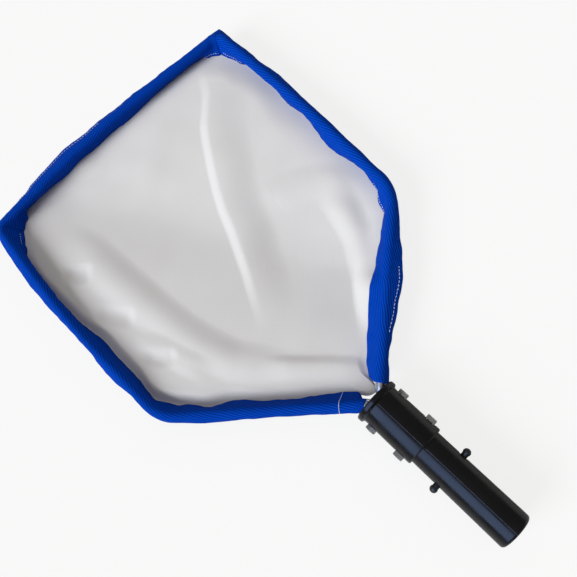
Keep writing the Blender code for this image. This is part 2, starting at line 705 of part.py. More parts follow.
def bag_normals(grid):
    """Upward normals of a closed grid of rings."""
    around = np.roll(grid, -1, axis=1) - np.roll(grid, 1, axis=1)
    inwards = np.gradient(grid, axis=0)
    normals = np.cross(around, inwards)
    normals /= np.linalg.norm(normals, axis=2, keepdims=True)
    normals *= np.where(normals[:, :, 2:3] < 0, -1.0, 1.0)
    return normals


# ---------------------------------------------------------------- handle


def housing_mesh():
    """Turned outside of the housing: flange, fillet, barrel and the bore for the tube."""
    bore = TUBE_RADIUS + GAP
    profile = [(0.0, 0.0)]
    profile += quarter_round((FLANGE_RADIUS - FLANGE_EDGE_ROUND, -FLANGE_EDGE_ROUND), 90, 0, FLANGE_EDGE_ROUND)
    profile += quarter_round((FLANGE_RADIUS - FLANGE_EDGE_ROUND, -FLANGE_THICKNESS + FLANGE_EDGE_ROUND),
                             0, -90, FLANGE_EDGE_ROUND)
    profile += quarter_round((HOUSING_RADIUS + HOUSING_FILLET, -FLANGE_THICKNESS - HOUSING_FILLET),
                             90, 180, HOUSING_FILLET)
    profile += [(HOUSING_RADIUS, -HOUSING_LENGTH + HOUSING_REAR_CHAMFER),
                (HOUSING_RADIUS - HOUSING_REAR_CHAMFER, -HOUSING_LENGTH),
                (bore, -HOUSING_LENGTH),
                (bore, -HOUSING_CORE_LENGTH),
                (0.0, -HOUSING_CORE_LENGTH)]
    return lathe("handle_housing", profile, (0.0, 0.0, AXIS_HEIGHT), (0.0, 1.0, 0.0), ROUND_SEGMENTS)


def slot_loop(y, half_width, half_height):
    """A slot with round ends, across the handle at y."""
    loop = []
    for side in (1, -1):
        for step in range(9):
            angle = math.radians(-90 + 180 * step / 8)
            x = side * (half_width - half_height) + half_height * math.cos(angle) * side
            loop.append((x, y, AXIS_HEIGHT + half_height * math.sin(angle) * side))
    return loop


def rod_slot_cutter():
    """The slot that grips the two rod ends, flaring into a funnel at the mouth."""
    narrow = (ROD_SPACING / 2 + ROD_RADIUS + GAP, ROD_RADIUS + GAP)
    overshoot = 0.001
    slope = overshoot / FUNNEL_DEPTH
    wide = (FUNNEL_HALF_WIDTH + (FUNNEL_HALF_WIDTH - narrow[0]) * slope,
            FUNNEL_HALF_HEIGHT + (FUNNEL_HALF_HEIGHT - narrow[1]) * slope)
    loops = [slot_loop(-HOUSING_CORE_LENGTH - overshoot, *narrow), slot_loop(-FUNNEL_DEPTH, *narrow),
             slot_loop(overshoot, *wide)]
    return add_object("rod_slot_cutter", loft("rod_slot_cutter", loops), plain)


def cross_cutter(name, start_x, end_x, y, radius, segments=24):
    """A round cutter across the handle, along X."""
    profile = [(0.0, 0.0), (radius, 0.0), (radius, end_x - start_x), (0.0, end_x - start_x)]
    mesh = lathe(name, profile, (start_x, y, AXIS_HEIGHT), (1.0, 0.0, 0.0), segments)
    return add_object(name, mesh, plain)


def tube_mesh():
    """Turned tube: its front end sits in the housing, its rear end is open and rounded."""
    front = -HOUSING_CORE_LENGTH - GAP
    inner_round = TUBE_WALL - TUBE_END_ROUND
    profile = [(TUBE_BORE_RADIUS, front), (TUBE_RADIUS, front)]
    profile += quarter_round((TUBE_RADIUS - TUBE_END_ROUND, TUBE_END_Y + TUBE_END_ROUND), 0, -90, TUBE_END_ROUND, 4)
    profile += [(TUBE_RADIUS - TUBE_END_ROUND - inner_round, TUBE_END_Y)]
    return lathe("pole_insert_tube", profile, (0.0, 0.0, AXIS_HEIGHT), (0.0, 1.0, 0.0), ROUND_SEGMENTS)


# ---------------------------------------------------------------- bolts and nuts


def hex_loop(x, y, radius):
    """A hexagon across the handle, its corners up and down."""
    angles = [math.radians(60 * step) for step in range(6)]
    return [(x, y + radius * math.sin(a), AXIS_HEIGHT + radius * math.cos(a)) for a in angles]


def hex_prism(name, start_x, end_x, y):
    """A hexagonal head or nut along X, chamfered at its outer end."""
    way = math.copysign(1.0, end_x - start_x)
    loops = [hex_loop(start_x, y, HEX_CORNER_RADIUS),
             hex_loop(end_x - way * HEX_CHAMFER, y, HEX_CORNER_RADIUS),
             hex_loop(end_x, y, HEX_CORNER_RADIUS - HEX_CHAMFER)]
    return loft(name, loops)


def add_bolt(name, y):
    """Hex bolt with its head on the right, and its nut on the left."""
    head_x = SEAT_X + GAP
    nut_x = -SEAT_X - GAP
    tip_x = nut_x - NUT_HEIGHT - BOLT_TIP
    bolt = add_object(name, hex_prism(name, head_x, head_x + HEAD_HEIGHT, y), zinc)
    profile = [(0.0, 0.0), (BOLT_DIAMETER / 2 - HEX_CHAMFER, 0.0), (BOLT_DIAMETER / 2, HEX_CHAMFER),
               (BOLT_DIAMETER / 2, head_x - tip_x + HEAD_HEIGHT / 2), (0.0, head_x - tip_x + HEAD_HEIGHT / 2)]
    shank = add_object(name + "_shank", lathe(name + "_shank", profile, (tip_x, y, AXIS_HEIGHT),
                                              (1.0, 0.0, 0.0), 20), zinc)
    shank.hide_render = True
    shank.display_type = 'WIRE'
    union = bolt.modifiers.new("shank", 'BOOLEAN')
    union.operation = 'UNION'
    union.object = shank
    union.solver = 'EXACT'
    nut = add_object(name + "_nut", hex_prism(name + "_nut", nut_x, nut_x - NUT_HEIGHT, y), zinc)
    reach = NUT_HEIGHT + 2 * SEAT_DEPTH
    thread = cross_cutter(name + "_thread_cutter", nut_x - reach, nut_x + reach, y, BOLT_HOLE_RADIUS, 20)
    cut(nut, thread)
    return bolt, nut


# ---------------------------------------------------------------- snap clip

spring_bend_y = TUBE_END_Y + BEND_DEPTH
button_y = TUBE_END_Y + BUTTON_DEPTH
spring_tip_y = button_y + SPRING_TIP_LENGTH
# the leaf touches the bore along its two edges
arm_face_x = math.sqrt(TUBE_BORE_RADIUS ** 2 - (SPRING_WIDTH / 2) ** 2) - GAP
arm_mid_x = arm_face_x - SPRING_THICKNESS / 2


def strip_loop(place, across):
    """The spring leaf's section: thin in plan, SPRING_WIDTH high."""
    half = across * SPRING_THICKNESS / 2
    low, high = AXIS_HEIGHT - SPRING_WIDTH / 2, AXIS_HEIGHT + SPRING_WIDTH / 2
    corners = [(place - half, low), (place + half, low), (place + half, high), (place - half, high)]
    return [(p.real, p.imag, z) for p, z in corners]


def add_spring_bend():
    """The round back of the clip, which stays still against the bore."""
    loops = []
    for step in range(17):
        angle = math.pi + math.pi * step / 16
        way = complex(math.cos(angle), math.sin(angle))
        loops.append(strip_loop(complex(0.0, spring_bend_y) + way * BEND_RADIUS, way))
    return add_object("snap_clip_bend", loft("snap_clip_bend", loops), spring_steel)


def arm_line_x(y):
    """The leaf's middle on the right side: it spreads from the bend to the buttons."""
    share = (y - spring_bend_y) / (button_y - spring_bend_y)
    return BEND_RADIUS + (arm_mid_x - BEND_RADIUS) * min(share, 1.0)


def add_arm(name, side):
    """One leaf of the clip, from the bend past its button. It turns about the bend's end."""
    hinge = (side * BEND_RADIUS, spring_bend_y, AXIS_HEIGHT)
    loops = []
    for y in (spring_bend_y + GAP, button_y, spring_tip_y):
        loops.append(strip_loop(complex(side * arm_line_x(y), y), complex(side, 0.0)))
    arm = add_object(name, loft(name, loops, hinge), spring_steel, hinge)
    hole_start = arm_mid_x - 2 * SPRING_THICKNESS
    hole_end = arm_mid_x + 2 * SPRING_THICKNESS
    ends = sorted((side * hole_start, side * hole_end))
    cut(arm, cross_cutter(name + "_hole_cutter", ends[0], ends[1], button_y, RIVET_SHANK_RADIUS + GAP, 16))
    return arm


def add_button(name, side):
    """Ball-ended button riveted through the leaf; its origin is on the arm's hinge line."""
    hinge = (side * BEND_RADIUS, spring_bend_y, AXIS_HEIGHT)
    ball_x = TUBE_RADIUS + BUTTON_STAND - BUTTON_BALL_RADIUS
    head_outer = arm_mid_x - SPRING_THICKNESS / 2 - GAP
    neck_start = arm_face_x + GAP
    meet = math.asin(BUTTON_NECK_RADIUS / BUTTON_BALL_RADIUS)
    profile = [(0.0, head_outer - RIVET_HEAD_THICKNESS), (RIVET_HEAD_RADIUS, head_outer - RIVET_HEAD_THICKNESS),
               (RIVET_HEAD_RADIUS, head_outer), (RIVET_SHANK_RADIUS, head_outer),
               (RIVET_SHANK_RADIUS, neck_start), (BUTTON_NECK_RADIUS, neck_start)]
    for step in range(8):
        angle = meet + (math.pi - meet) * step / 7
        radius = BUTTON_BALL_RADIUS * math.sin(angle)
        profile.append((radius if step < 7 else 0.0, ball_x - BUTTON_BALL_RADIUS * math.cos(angle)))
    mesh = lathe(name, profile, (0.0, button_y, AXIS_HEIGHT), (side, 0.0, 0.0), 24, hinge)
    return add_object(name, mesh, black_nylon, hinge)


def press_angle():
    """The turn of an arm that brings its button flush with the tube."""
    arm = button_y - spring_bend_y
    stand_out = TUBE_RADIUS + BUTTON_STAND - BUTTON_BALL_RADIUS - BEND_RADIUS
    flush = TUBE_RADIUS - BUTTON_BALL_RADIUS - BEND_RADIUS
    reach = math.hypot(arm, stand_out)
    return math.acos(flush / reach) - math.acos(stand_out / reach)


# ---------------------------------------------------------------- assembly
plain = make_material("cutter", (0.5, 0.5, 0.5), 0.5)
black_plastic = make_material("black_plastic", (0.010, 0.010, 0.012), 0.30)
black_nylon = make_material("black_nylon", (0.014, 0.014, 0.016), 0.38)
aluminium = make_material("aluminium", (0.80, 0.80, 0.79), 0.32, 1.0)
zinc = make_material("zinc", (0.62, 0.64, 0.64), 0.35, 1.0)
spring_steel = make_material("spring_steel", (0.55, 0.55, 0.56), 0.30, 1.0)
blue_webbing = make_material("blue_webbing", (0.002, 0.045, 0.42), 0.75)
white_mesh = make_material("white_mesh", (0.72, 0.72, 0.74), 0.85)

assembly = make_assembly()

housing = add_object("handle_housing", housing_mesh(), black_plastic)
cut(housing, rod_slot_cutter())
tube = add_object("pole_insert_tube", tube_mesh(), black_plastic)
hoop = add_object("frame_hoop", rod_mesh(), aluminium)

for bolt_name, bolt_y in (("front_bolt", -FRONT_BOLT_DEPTH), ("rear_bolt", -REAR_BOLT_DEPTH)):
    past = 2 * HOUSING_RADIUS
    bolt_hole = cross_cutter(bolt_name + "_hole_cutter", -past, past, bolt_y, BOLT_HOLE_RADIUS)
    cut(housing, bolt_hole)
    cut(hoop, bolt_hole)
    if -bolt_y > HOUSING_CORE_LENGTH:
        cut(tube, bolt_hole)
    cut(housing, cross_cutter(bolt_name + "_head_seat_cutter", SEAT_X, past, bolt_y, SEAT_RADIUS, 32))
    cut(housing, cross_cutter(bolt_name + "_nut_seat_cutter", -past, -SEAT_X, bolt_y, SEAT_RADIUS, 32))
    add_bolt(bolt_name, bolt_y)

add_spring_bend()
for side_name, side_sign in (("left", -1), ("right", 1)):
    add_arm("snap_clip_" + side_name + "_arm", side_sign)
    add_button("snap_button_" + side_name, side_sign)
# a pressed button swings forwards a little, so its hole is centred on the middle of the swing
swing = (TUBE_RADIUS - TUBE_WALL / 2 - BEND_RADIUS) * math.tan(press_angle()) / 2
cut(tube, cross_cutter("button_hole_cutter", -2 * TUBE_RADIUS, 2 * TUBE_RADIUS, button_y + swing,
                       BUTTON_HOLE_RADIUS, 32))

bag_rim = []
for sleeve_name, stretch in zip(("left_sleeve", "front_sleeve", "right_sleeve"), pocket_stretches()):
    pocket_sections, sleeve_rim = stretch.stations()
    add_object(sleeve_name, pocket_mesh(sleeve_name, pocket_sections), blue_webbing)
    bag_rim += sleeve_rim
add_object("mesh_bag", bag_mesh(bag_rim), white_mesh)

# move the whole so that the origin lies on the floor under the middle of it
bpy.context.view_layer.update()
depsgraph = bpy.context.evaluated_depsgraph_get()
corners = []
for thing in bpy.data.objects:
    if thing.type == 'MESH' and not thing.hide_render:
        shape = thing.evaluated_get(depsgraph)
        corners += [thing.matrix_world @ Vector(corner) for corner in shape.bound_box]
low = [min(corner[axis] for corner in corners) for axis in range(3)]
high = [max(corner[axis] for corner in corners) for axis in range(3)]
assembly.location = (-(low[0] + high[0]) / 2, -(low[1] + high[1]) / 2, -low[2])
bpy.context.view_layer.update()

print("handle axis x, mouth y:", round(assembly.location.x, 6), round(assembly.location.y, 6))
print("press angle, degrees:", round(math.degrees(press_angle()), 3))
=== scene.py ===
"""Leaf skimmer net on a pale floor: a hoop in blue webbing with a white mesh bag, bolted to a black handle.

Metres, in the frame's own axes: +Y from the handle to the net, +Z up. Places are measured from
the handle's mouth, where the handle's axis meets the flat front of its flange.
"""
import math

import bmesh
import bpy
import numpy as np
from mathutils import Matrix, Vector


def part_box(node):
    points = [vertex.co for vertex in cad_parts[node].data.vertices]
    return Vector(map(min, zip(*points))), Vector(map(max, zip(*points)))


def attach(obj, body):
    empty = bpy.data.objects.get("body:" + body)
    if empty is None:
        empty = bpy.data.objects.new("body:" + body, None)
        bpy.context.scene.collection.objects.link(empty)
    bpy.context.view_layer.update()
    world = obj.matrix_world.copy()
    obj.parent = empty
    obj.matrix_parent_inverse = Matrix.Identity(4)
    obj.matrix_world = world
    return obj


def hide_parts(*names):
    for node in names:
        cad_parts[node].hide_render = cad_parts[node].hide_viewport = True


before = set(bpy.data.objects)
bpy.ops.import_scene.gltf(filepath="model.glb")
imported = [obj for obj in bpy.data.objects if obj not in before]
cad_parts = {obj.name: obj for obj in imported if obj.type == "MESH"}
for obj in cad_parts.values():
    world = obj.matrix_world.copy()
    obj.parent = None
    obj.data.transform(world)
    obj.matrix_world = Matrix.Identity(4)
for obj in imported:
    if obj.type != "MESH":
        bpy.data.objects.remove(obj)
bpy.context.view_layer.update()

# ---- camera, floor and light
# The camera looks down on the hoop from 0.46 m, turned so that the handle points to the lower right.
housing_low, housing_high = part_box("handle_housing")
mouth = np.array([(housing_low.x + housing_high.x) / 2, housing_high.y,
                  (housing_low.z + housing_high.z) / 2])
FRAME_PIXELS = 577
FOCAL_PIXELS = 550
SENSOR_WIDTH = 36.0
camera_place = mouth + (0.01582, -0.05556, 0.4289)
camera_right = Vector((0.67528, -0.68759, -0.26696))
camera_up = Vector((0.73758, 0.62687, 0.25113))
camera_back = camera_right.cross(camera_up)
camera_data = bpy.data.cameras.new("camera")
camera_data.sensor_width = SENSOR_WIDTH
camera_data.lens = SENSOR_WIDTH * FOCAL_PIXELS / FRAME_PIXELS
camera = bpy.data.objects.new("camera", camera_data)
turn = Matrix((camera_right, camera_up, camera_back)).transposed().to_4x4()
camera.matrix_world = Matrix.Translation(Vector(camera_place)) @ turn
bpy.context.scene.collection.objects.link(camera)
bpy.context.scene.camera = camera
bpy.context.scene.view_settings.view_transform = "Standard"


# Low daylight falls in from the left and the room's warm light from the right. A pane that only gloss
# reflects lies along the handle as its bluish streak.
def add_light(name, kind, place, target, energy, colour):
    """A lamp at place, facing target."""
    data = bpy.data.lights.new(name, kind)
    data.energy = energy
    data.color = colour
    light = bpy.data.objects.new(name, data)
    light.location = place
    light.rotation_euler = (Vector(target) - Vector(place)).to_track_quat("-Z", "Y").to_euler()
    bpy.context.scene.collection.objects.link(light)
    return light


daylight = add_light("daylight", "SUN", (-1.63, 0.20, 1.02), (0.0, 0.0, 0.0), 4.05, (0.96, 0.98, 1.0))
daylight.visible_glossy = False
daylight.data.angle = math.radians(32.0)
room_fill = add_light("room_fill", "SUN", (1.0, 0.30, 1.50), (0.0, 0.0, 0.0), 0.72, (1.0, 0.92, 0.84))
room_fill.visible_glossy = False
room_fill.data.angle = math.radians(70.0)
pane = add_light("pane", "AREA", (-0.50, -0.22, 0.60), (0.0, -0.22, 0.02), 8.0, (0.36, 0.54, 1.0))
pane.data.shape = "RECTANGLE"
pane.data.size, pane.data.size_y = 0.80, 0.70
pane.visible_diffuse = False

ROOM_COLOUR, ROOM_STRENGTH = (1.0, 0.955, 0.90), 0.24
world = bpy.data.worlds.new("studio")
world.use_nodes = True
world_nodes = world.node_tree.nodes
background = world_nodes["Background"]
background.inputs["Color"].default_value = (*ROOM_COLOUR, 1.0)
background.inputs["Strength"].default_value = ROOM_STRENGTH
plain_white = world_nodes.new("ShaderNodeBackground")
plain_white.inputs["Color"].default_value = (1.0, 1.0, 1.0, 1.0)
plain_white.inputs["Strength"].default_value = 1.0
path = world_nodes.new("ShaderNodeLightPath")
choose = world_nodes.new("ShaderNodeMixShader")
world.node_tree.links.new(path.outputs["Is Camera Ray"], choose.inputs["Fac"])
world.node_tree.links.new(background.outputs["Background"], choose.inputs[1])
world.node_tree.links.new(plain_white.outputs["Background"], choose.inputs[2])
world.node_tree.links.new(choose.outputs["Shader"], world_nodes["World Output"].inputs["Surface"])
bpy.context.scene.world = world

# The floor is pale grey to all other light, and for the camera mostly white, so that its shadows stay soft.
FLOOR_REACH = 4.0
FLOOR_WHITE_SHARE = 0.82
floor_mesh = bpy.data.meshes.new("floor")
floor_corners = [(x * FLOOR_REACH, y * FLOOR_REACH, 0) for x, y in ((-1, -1), (1, -1), (1, 1), (-1, 1))]
floor_mesh.from_pydata(floor_corners, [], [(0, 1, 2, 3)])
floor = bpy.data.objects.new("floor", floor_mesh)
floor.location.z = -0.0002
bpy.context.scene.collection.objects.link(floor)
floor_paint = bpy.data.materials.new("pale_floor")
floor_paint.use_nodes = True
floor_nodes, floor_links = floor_paint.node_tree.nodes, floor_paint.node_tree.links
floor_nodes["Principled BSDF"].inputs["Base Color"].default_value = (0.64, 0.64, 0.64, 1.0)
floor_nodes["Principled BSDF"].inputs["Roughness"].default_value = 0.9
floor_nodes["Principled BSDF"].inputs["Specular IOR Level"].default_value = 0.1
floor_white = floor_nodes.new("ShaderNodeEmission")
floor_path = floor_nodes.new("ShaderNodeLightPath")
floor_share = floor_nodes.new("ShaderNodeMath")
floor_share.operation = "MULTIPLY"
floor_share.inputs[1].default_value = FLOOR_WHITE_SHARE
floor_mix = floor_nodes.new("ShaderNodeMixShader")
floor_links.new(floor_path.outputs["Is Camera Ray"], floor_share.inputs[0])
floor_links.new(floor_share.outputs["Value"], floor_mix.inputs["Fac"])
floor_links.new(floor_nodes["Principled BSDF"].outputs["BSDF"], floor_mix.inputs[1])
floor_links.new(floor_white.outputs["Emission"], floor_mix.inputs[2])
floor_links.new(floor_mix.outputs["Shader"], floor_nodes["Material Output"].inputs["Surface"])
floor_mesh.materials.append(floor_paint)


# ---- hoop: one 8 mm aluminium rod, drawn, then bent to five corners with a skewed front that bows outwards.
# The webbing hides it but for its two ends, which run side by side into the handle's mouth.
# Plan points are x + iy, measured from the mouth. The way runs clockwise seen from above.
INSIDE = -1j
ROD_RADIUS = 0.004
ROD_SPACING = 0.0088
ROD_INSIDE = 0.046                          # from the mouth into the handle
NECK_BEND_RADIUS, SHOULDER_BEND_RADIUS, FRONT_BEND_RADIUS = 0.020, 0.045, 0.012
LEFT_BOW, FRONT_BOW, RIGHT_BOW = 0.005, 0.008, 0.0025
BOW_EASE = 1.2


def grid_object(name, points, material, close_round=False, uv=None):
    """Surface over points[i, j]: faces join neighbours in i and j, and the last j to the first if asked."""
    rows, columns = points.shape[:2]
    index = np.arange(rows * columns).reshape(rows, columns)
    if close_round:
        index = np.concatenate([index, index[:, :1]], axis=1)
    corners = [index[:-1, :-1], index[:-1, 1:], index[1:, 1:], index[1:, :-1]]
    faces = np.stack(corners, axis=-1).reshape(-1, 4)
    mesh = bpy.data.meshes.new(name)
    mesh.from_pydata(points.reshape(-1, 3).tolist(), [], faces.tolist())
    if uv is not None:
        layer = mesh.uv_layers.new(name="cut")
        layer.data.foreach_set("uv", uv.reshape(-1, 2)[faces.reshape(-1)].astype(np.float32).ravel())
    mesh.shade_smooth()
    mesh.materials.append(material)
    thing = bpy.data.objects.new(name, mesh)
    bpy.context.scene.collection.objects.link(thing)
    return thing


def new_material(name, colour, roughness, metallic=0.0):
    """A material, its node tree and its shader, with the plain values set on the shader's own sockets."""
    material = bpy.data.materials.new(name)
    material.use_nodes = True
    shader = material.node_tree.nodes["Principled BSDF"]
    shader.inputs["Base Color"].default_value = (*colour, 1.0)
    shader.inputs["Roughness"].default_value = roughness
    shader.inputs["Metallic"].default_value = metallic
    return material, material.node_tree, shader


def corner_pair(width, reach, shift, skew):
    """The left and right ends of a line of that width, centred at (shift, reach) and turned."""
    middle = complex(shift, reach)
    half = width / 2 * complex(math.cos(skew), math.sin(skew))
    return middle - half, middle + half


rod_end_left, rod_end_right = corner_pair(ROD_SPACING, -ROD_INSIDE, 0.0, 0.0)
neck_left, neck_right = corner_pair(ROD_SPACING, -0.001, 0.0, 0.0)
shoulder_left, shoulder_right = corner_pair(0.2744, 0.1122, 0.0009, math.radians(-3.65))
front_left, front_right = corner_pair(0.297, 0.3731, 0.0112, math.radians(-7.75))


class Corner:
    """A rounded corner of the rod."""

    def __init__(self, before, at, after, radius):
        self.at, self.radius = at, radius
        self.way_in = (at - before) / abs(at - before)
        self.way_out = (after - at) / abs(after - at)
        self.turn = np.angle(self.way_out / self.way_in)
        self.trim = radius * math.tan(abs(self.turn) / 2)
        self.start = at - self.way_in * self.trim
        self.end = at + self.way_out * self.trim
        self.centre = self.start + self.way_in * math.copysign(1, self.turn) * 1j * radius

    def arc(self, steps, start=0.0, end=1.0):
        """centre + (first - centre) exp(i turn s)"""
        share = np.linspace(start, end, steps + 1)
        return self.centre + (self.start - self.centre) * np.exp(1j * self.turn * share)


neck_bend_left = Corner(rod_end_left, neck_left, shoulder_left, NECK_BEND_RADIUS)
shoulder_bend_left = Corner(neck_left, shoulder_left, front_left, SHOULDER_BEND_RADIUS)
front_bend_left = Corner(shoulder_left, front_left, front_right, FRONT_BEND_RADIUS)
front_bend_right = Corner(front_left, front_right, shoulder_right, FRONT_BEND_RADIUS)
shoulder_bend_right = Corner(front_right, shoulder_right, neck_right, SHOULDER_BEND_RADIUS)
neck_bend_right = Corner(shoulder_right, neck_right, rod_end_right, NECK_BEND_RADIUS)


def bowed_offsets(start, end, steps, bow):
    """i w bow |sin(pi s)|^1.2, w the way from start to end"""
    share = np.linspace(0.0, 1.0, steps + 1)
    return 1j * (end - start) / abs(end - start) * bow * np.abs(np.sin(np.pi * share)) ** BOW_EASE


def straight(start, end, steps, bow=0.0):
    """start + (end - start) s, pushed out by the bow"""
    return start + (end - start) * np.linspace(0.0, 1.0, steps + 1) + bowed_offsets(start, end, steps, bow)


def ways_along(line):
    """The way along a line at each of its points."""
    way = np.gradient(line)
    return way / np.abs(way)


rod_line = np.concatenate([
    [rod_end_left], neck_bend_left.arc(12), shoulder_bend_left.arc(16),
    straight(shoulder_bend_left.end, front_bend_left.start, 26, LEFT_BOW)[1:],
    front_bend_left.arc(12)[1:],
    straight(front_bend_left.end, front_bend_right.start, 26, FRONT_BOW)[1:],
    front_bend_right.arc(12)[1:],
    straight(front_bend_right.end, shoulder_bend_right.start, 26, RIGHT_BOW)[1:],
    shoulder_bend_right.arc(16)[1:], neck_bend_right.arc(12), [rod_end_right]])
around = np.linspace(0.0, 2 * np.pi, 28, endpoint=False)
rod_plan = rod_line[:, None] + ways_along(rod_line)[:, None] * 1j * ROD_RADIUS * np.cos(around)
rod_up = np.broadcast_to(ROD_RADIUS * np.sin(around), rod_plan.shape)
rod_points = np.stack([rod_plan.real, rod_plan.imag, rod_up], axis=-1) + mouth


def new_group(name, inputs, outputs):
    """An empty node group with named sockets, and its way in and out."""
    group = bpy.data.node_groups.new(name, "ShaderNodeTree")
    for label, kind, value in inputs:
        socket = group.interface.new_socket(label, in_out="INPUT", socket_type=kind)
        if value is not None:
            socket.default_value = value
    for label, kind in outputs:
        group.interface.new_socket(label, in_out="OUTPUT", socket_type=kind)
    return group, group.nodes.new("NodeGroupInput"), group.nodes.new("NodeGroupOutput")


def maths(tree, operation, *values):
    """A Math node over sockets or numbers; gives its result."""
    node = tree.nodes.new("ShaderNodeMath")
    node.operation = operation
    for socket, value in zip(node.inputs, values):
        if isinstance(value, (int, float)):
            socket.default_value = value
        else:
            tree.links.new(value, socket)
    return node.outputs["Value"]


def blend_colour(tree, factor, first, second):
    """Mixes two colours by a factor; a colour may be a socket or three numbers."""
    node = tree.nodes.new("ShaderNodeMix")
    node.data_type = "RGBA"
    tree.links.new(factor, node.inputs["Factor"])
    for socket, value in ((node.inputs[6], first), (node.inputs[7], second)):
        if isinstance(value, tuple):
            socket.default_value = (*value, 1.0)
        else:
            tree.links.new(value, socket)
    return node.outputs[2]


def placed(tree, group, vector, **values):
    """The group in a material, fed by a vector, with its own numbers."""
    node = tree.nodes.new("ShaderNodeGroup")
    node.node_tree = group
    tree.links.new(vector, node.inputs["Vector"])
    for label, value in values.items():
        node.inputs[label.replace("_", " ")].default_value = value
    return node


def coordinates(tree, uv=None):
    """Object coordinates, or a named UV map, in metres."""
    if uv is None:
        return tree.nodes.new("ShaderNodeTexCoord").outputs["Object"]
    node = tree.nodes.new("ShaderNodeUVMap")
    node.uv_map = uv
    return node.outputs["UV"]


def noise_value(tree, vector, scale, detail=2.0):
    """Soft noise from 0 to 1; the scale may be a socket."""
    node = tree.nodes.new("ShaderNodeTexNoise")
    tree.links.new(vector, node.inputs["Vector"])
    if isinstance(scale, (int, float)):
        node.inputs["Scale"].default_value = scale
    else:
        tree.links.new(scale, node.inputs["Scale"])
    node.inputs["Detail"].default_value = detail
    return node.outputs["Fac"]


def add_relief(tree, shader, height, strength, distance):
    """Bumps the shader's surface by a height socket, over a distance in metres."""
    node = tree.nodes.new("ShaderNodeBump")
    node.inputs["Strength"].default_value = strength
    node.inputs["Distance"].default_value = distance
    tree.links.new(height, node.inputs["Height"])
    tree.links.new(node.outputs["Normal"], shader.inputs["Normal"])


# Surface of a hard piece: fine grain, streaks along Y as mould, die or rolls leave them, patches of wear.
hard_skin, way_in, way_out = new_group(
    "hard_skin", [("Vector", "NodeSocketVector", None), ("Grain", "NodeSocketFloat", 1500.0),
                  ("Streaks", "NodeSocketFloat", 900.0), ("Patches", "NodeSocketFloat", 120.0)],
    [("Tone", "NodeSocketFloat"), ("Wear", "NodeSocketFloat"), ("Height", "NodeSocketFloat")])
drawn_out = hard_skin.nodes.new("ShaderNodeVectorMath")
drawn_out.operation = "MULTIPLY"
drawn_out.inputs[1].default_value = (1.0, 0.03, 1.0)
hard_skin.links.new(way_in.outputs["Vector"], drawn_out.inputs[0])
grain = noise_value(hard_skin, way_in.outputs["Vector"], way_in.outputs["Grain"])
streaks = noise_value(hard_skin, drawn_out.outputs["Vector"], way_in.outputs["Streaks"])
patches = noise_value(hard_skin, way_in.outputs["Vector"], way_in.outputs["Patches"], 4.0)
tone = maths(hard_skin, "MULTIPLY_ADD", streaks, 0.6, maths(hard_skin, "MULTIPLY", patches, 0.4))
wear = maths(hard_skin, "MAXIMUM", maths(hard_skin, "MULTIPLY_ADD", patches, 2.4, -0.85), 0.0)
hard_skin.links.new(tone, way_out.inputs["Tone"])
hard_skin.links.new(maths(hard_skin, "MINIMUM", wear, 1.0), way_out.inputs["Wear"])
hard_skin.links.new(maths(hard_skin, "MULTIPLY_ADD", streaks, 0.5, maths(hard_skin, "MULTIPLY", grain, 0.5)),
                    way_out.inputs["Height"])


def hard_material(name, dark, light, roughness, spread, metallic=0.0, depth=0.00002, **scales):
    """A moulded or metal surface: colour from dark to light by its streaks, rougher by spread where worn."""
    material, tree, shader = new_material(name, light, roughness, metallic)
    skin = placed(tree, hard_skin, coordinates(tree), **scales)
    tree.links.new(blend_colour(tree, skin.outputs["Tone"], dark, light), shader.inputs["Base Color"])
    rough = maths(tree, "MULTIPLY_ADD", skin.outputs["Wear"], spread, roughness)
    tree.links.new(rough, shader.inputs["Roughness"])
    add_relief(tree, shader, skin.outputs["Height"], 0.5, depth)
    return material, shader


bright_rod, _ = hard_material("satin_aluminium", (0.72, 0.73, 0.75), (0.95, 0.95, 0.96), 0.24, 0.16, 1.0,
                              Streaks=1300.0, Patches=220.0)
rod = grid_object("bent_rod", rod_points, bright_rod, close_round=True)
work = bmesh.new()
work.from_mesh(rod.data)
bmesh.ops.holes_fill(work, edges=[edge for edge in work.edges if edge.is_boundary])
bmesh.ops.recalc_face_normals(work, faces=work.faces)
work.to_mesh(rod.data)
work.free()
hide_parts("frame_hoop")
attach(rod, "root")


# ---- webbing pocket: three lengths of 50 mm twilled polyester tape, folded round the rod and sewn to the
# bag along both edges, with mitres at the front corners. Each table gives how far the inner seam or the
# outer fold lies from the rod's centre, by the share of the length that lies behind it.
LEFT_INNER_REACH = [(0.0, 0.0049), (0.0146, 0.0049), (0.0155, 0.0100), (0.0216, 0.0112), (0.0803, 0.0104),
                    (0.139, 0.0086), (0.1977, 0.0086), (0.2565, 0.0110), (0.3054, 0.0066), (0.3543, 0.0097),
                    (0.3983, 0.0086), (0.4424, 0.0032), (0.5108, 0.0053), (0.6233, 0.0068), (0.6967, 0.0020),
                    (0.8532, -0.0016), (0.912, 0.0013), (0.9511, 0.0066), (1.0, 0.0128)]
LEFT_OUTER_REACH = [(0.0, 0.0047), (0.0146, 0.0047), (0.0155, 0.0058), (0.0216, 0.0058), (0.1195, 0.0050),
                    (0.2173, 0.0052), (0.2857, 0.0066), (0.3445, 0.0055), (0.4521, 0.0050), (0.5304, 0.0078),
                    (0.6086, 0.0050), (0.6673, 0.0050), (0.7554, 0.0070), (0.8337, 0.0080), (0.9217, 0.0066),
                    (1.0, 0.0046)]
FRONT_INNER_REACH = [(0.0, 0.0128), (0.05, 0.0065), (0.11, -0.0028), (0.17, -0.0034), (0.30, 0.0006),
                     (0.50, -0.0004), (0.58, 0.0010), (0.72, -0.0028), (0.85, -0.0040), (0.91, -0.0020),
                     (0.95, 0.0035), (1.0, 0.0095)]
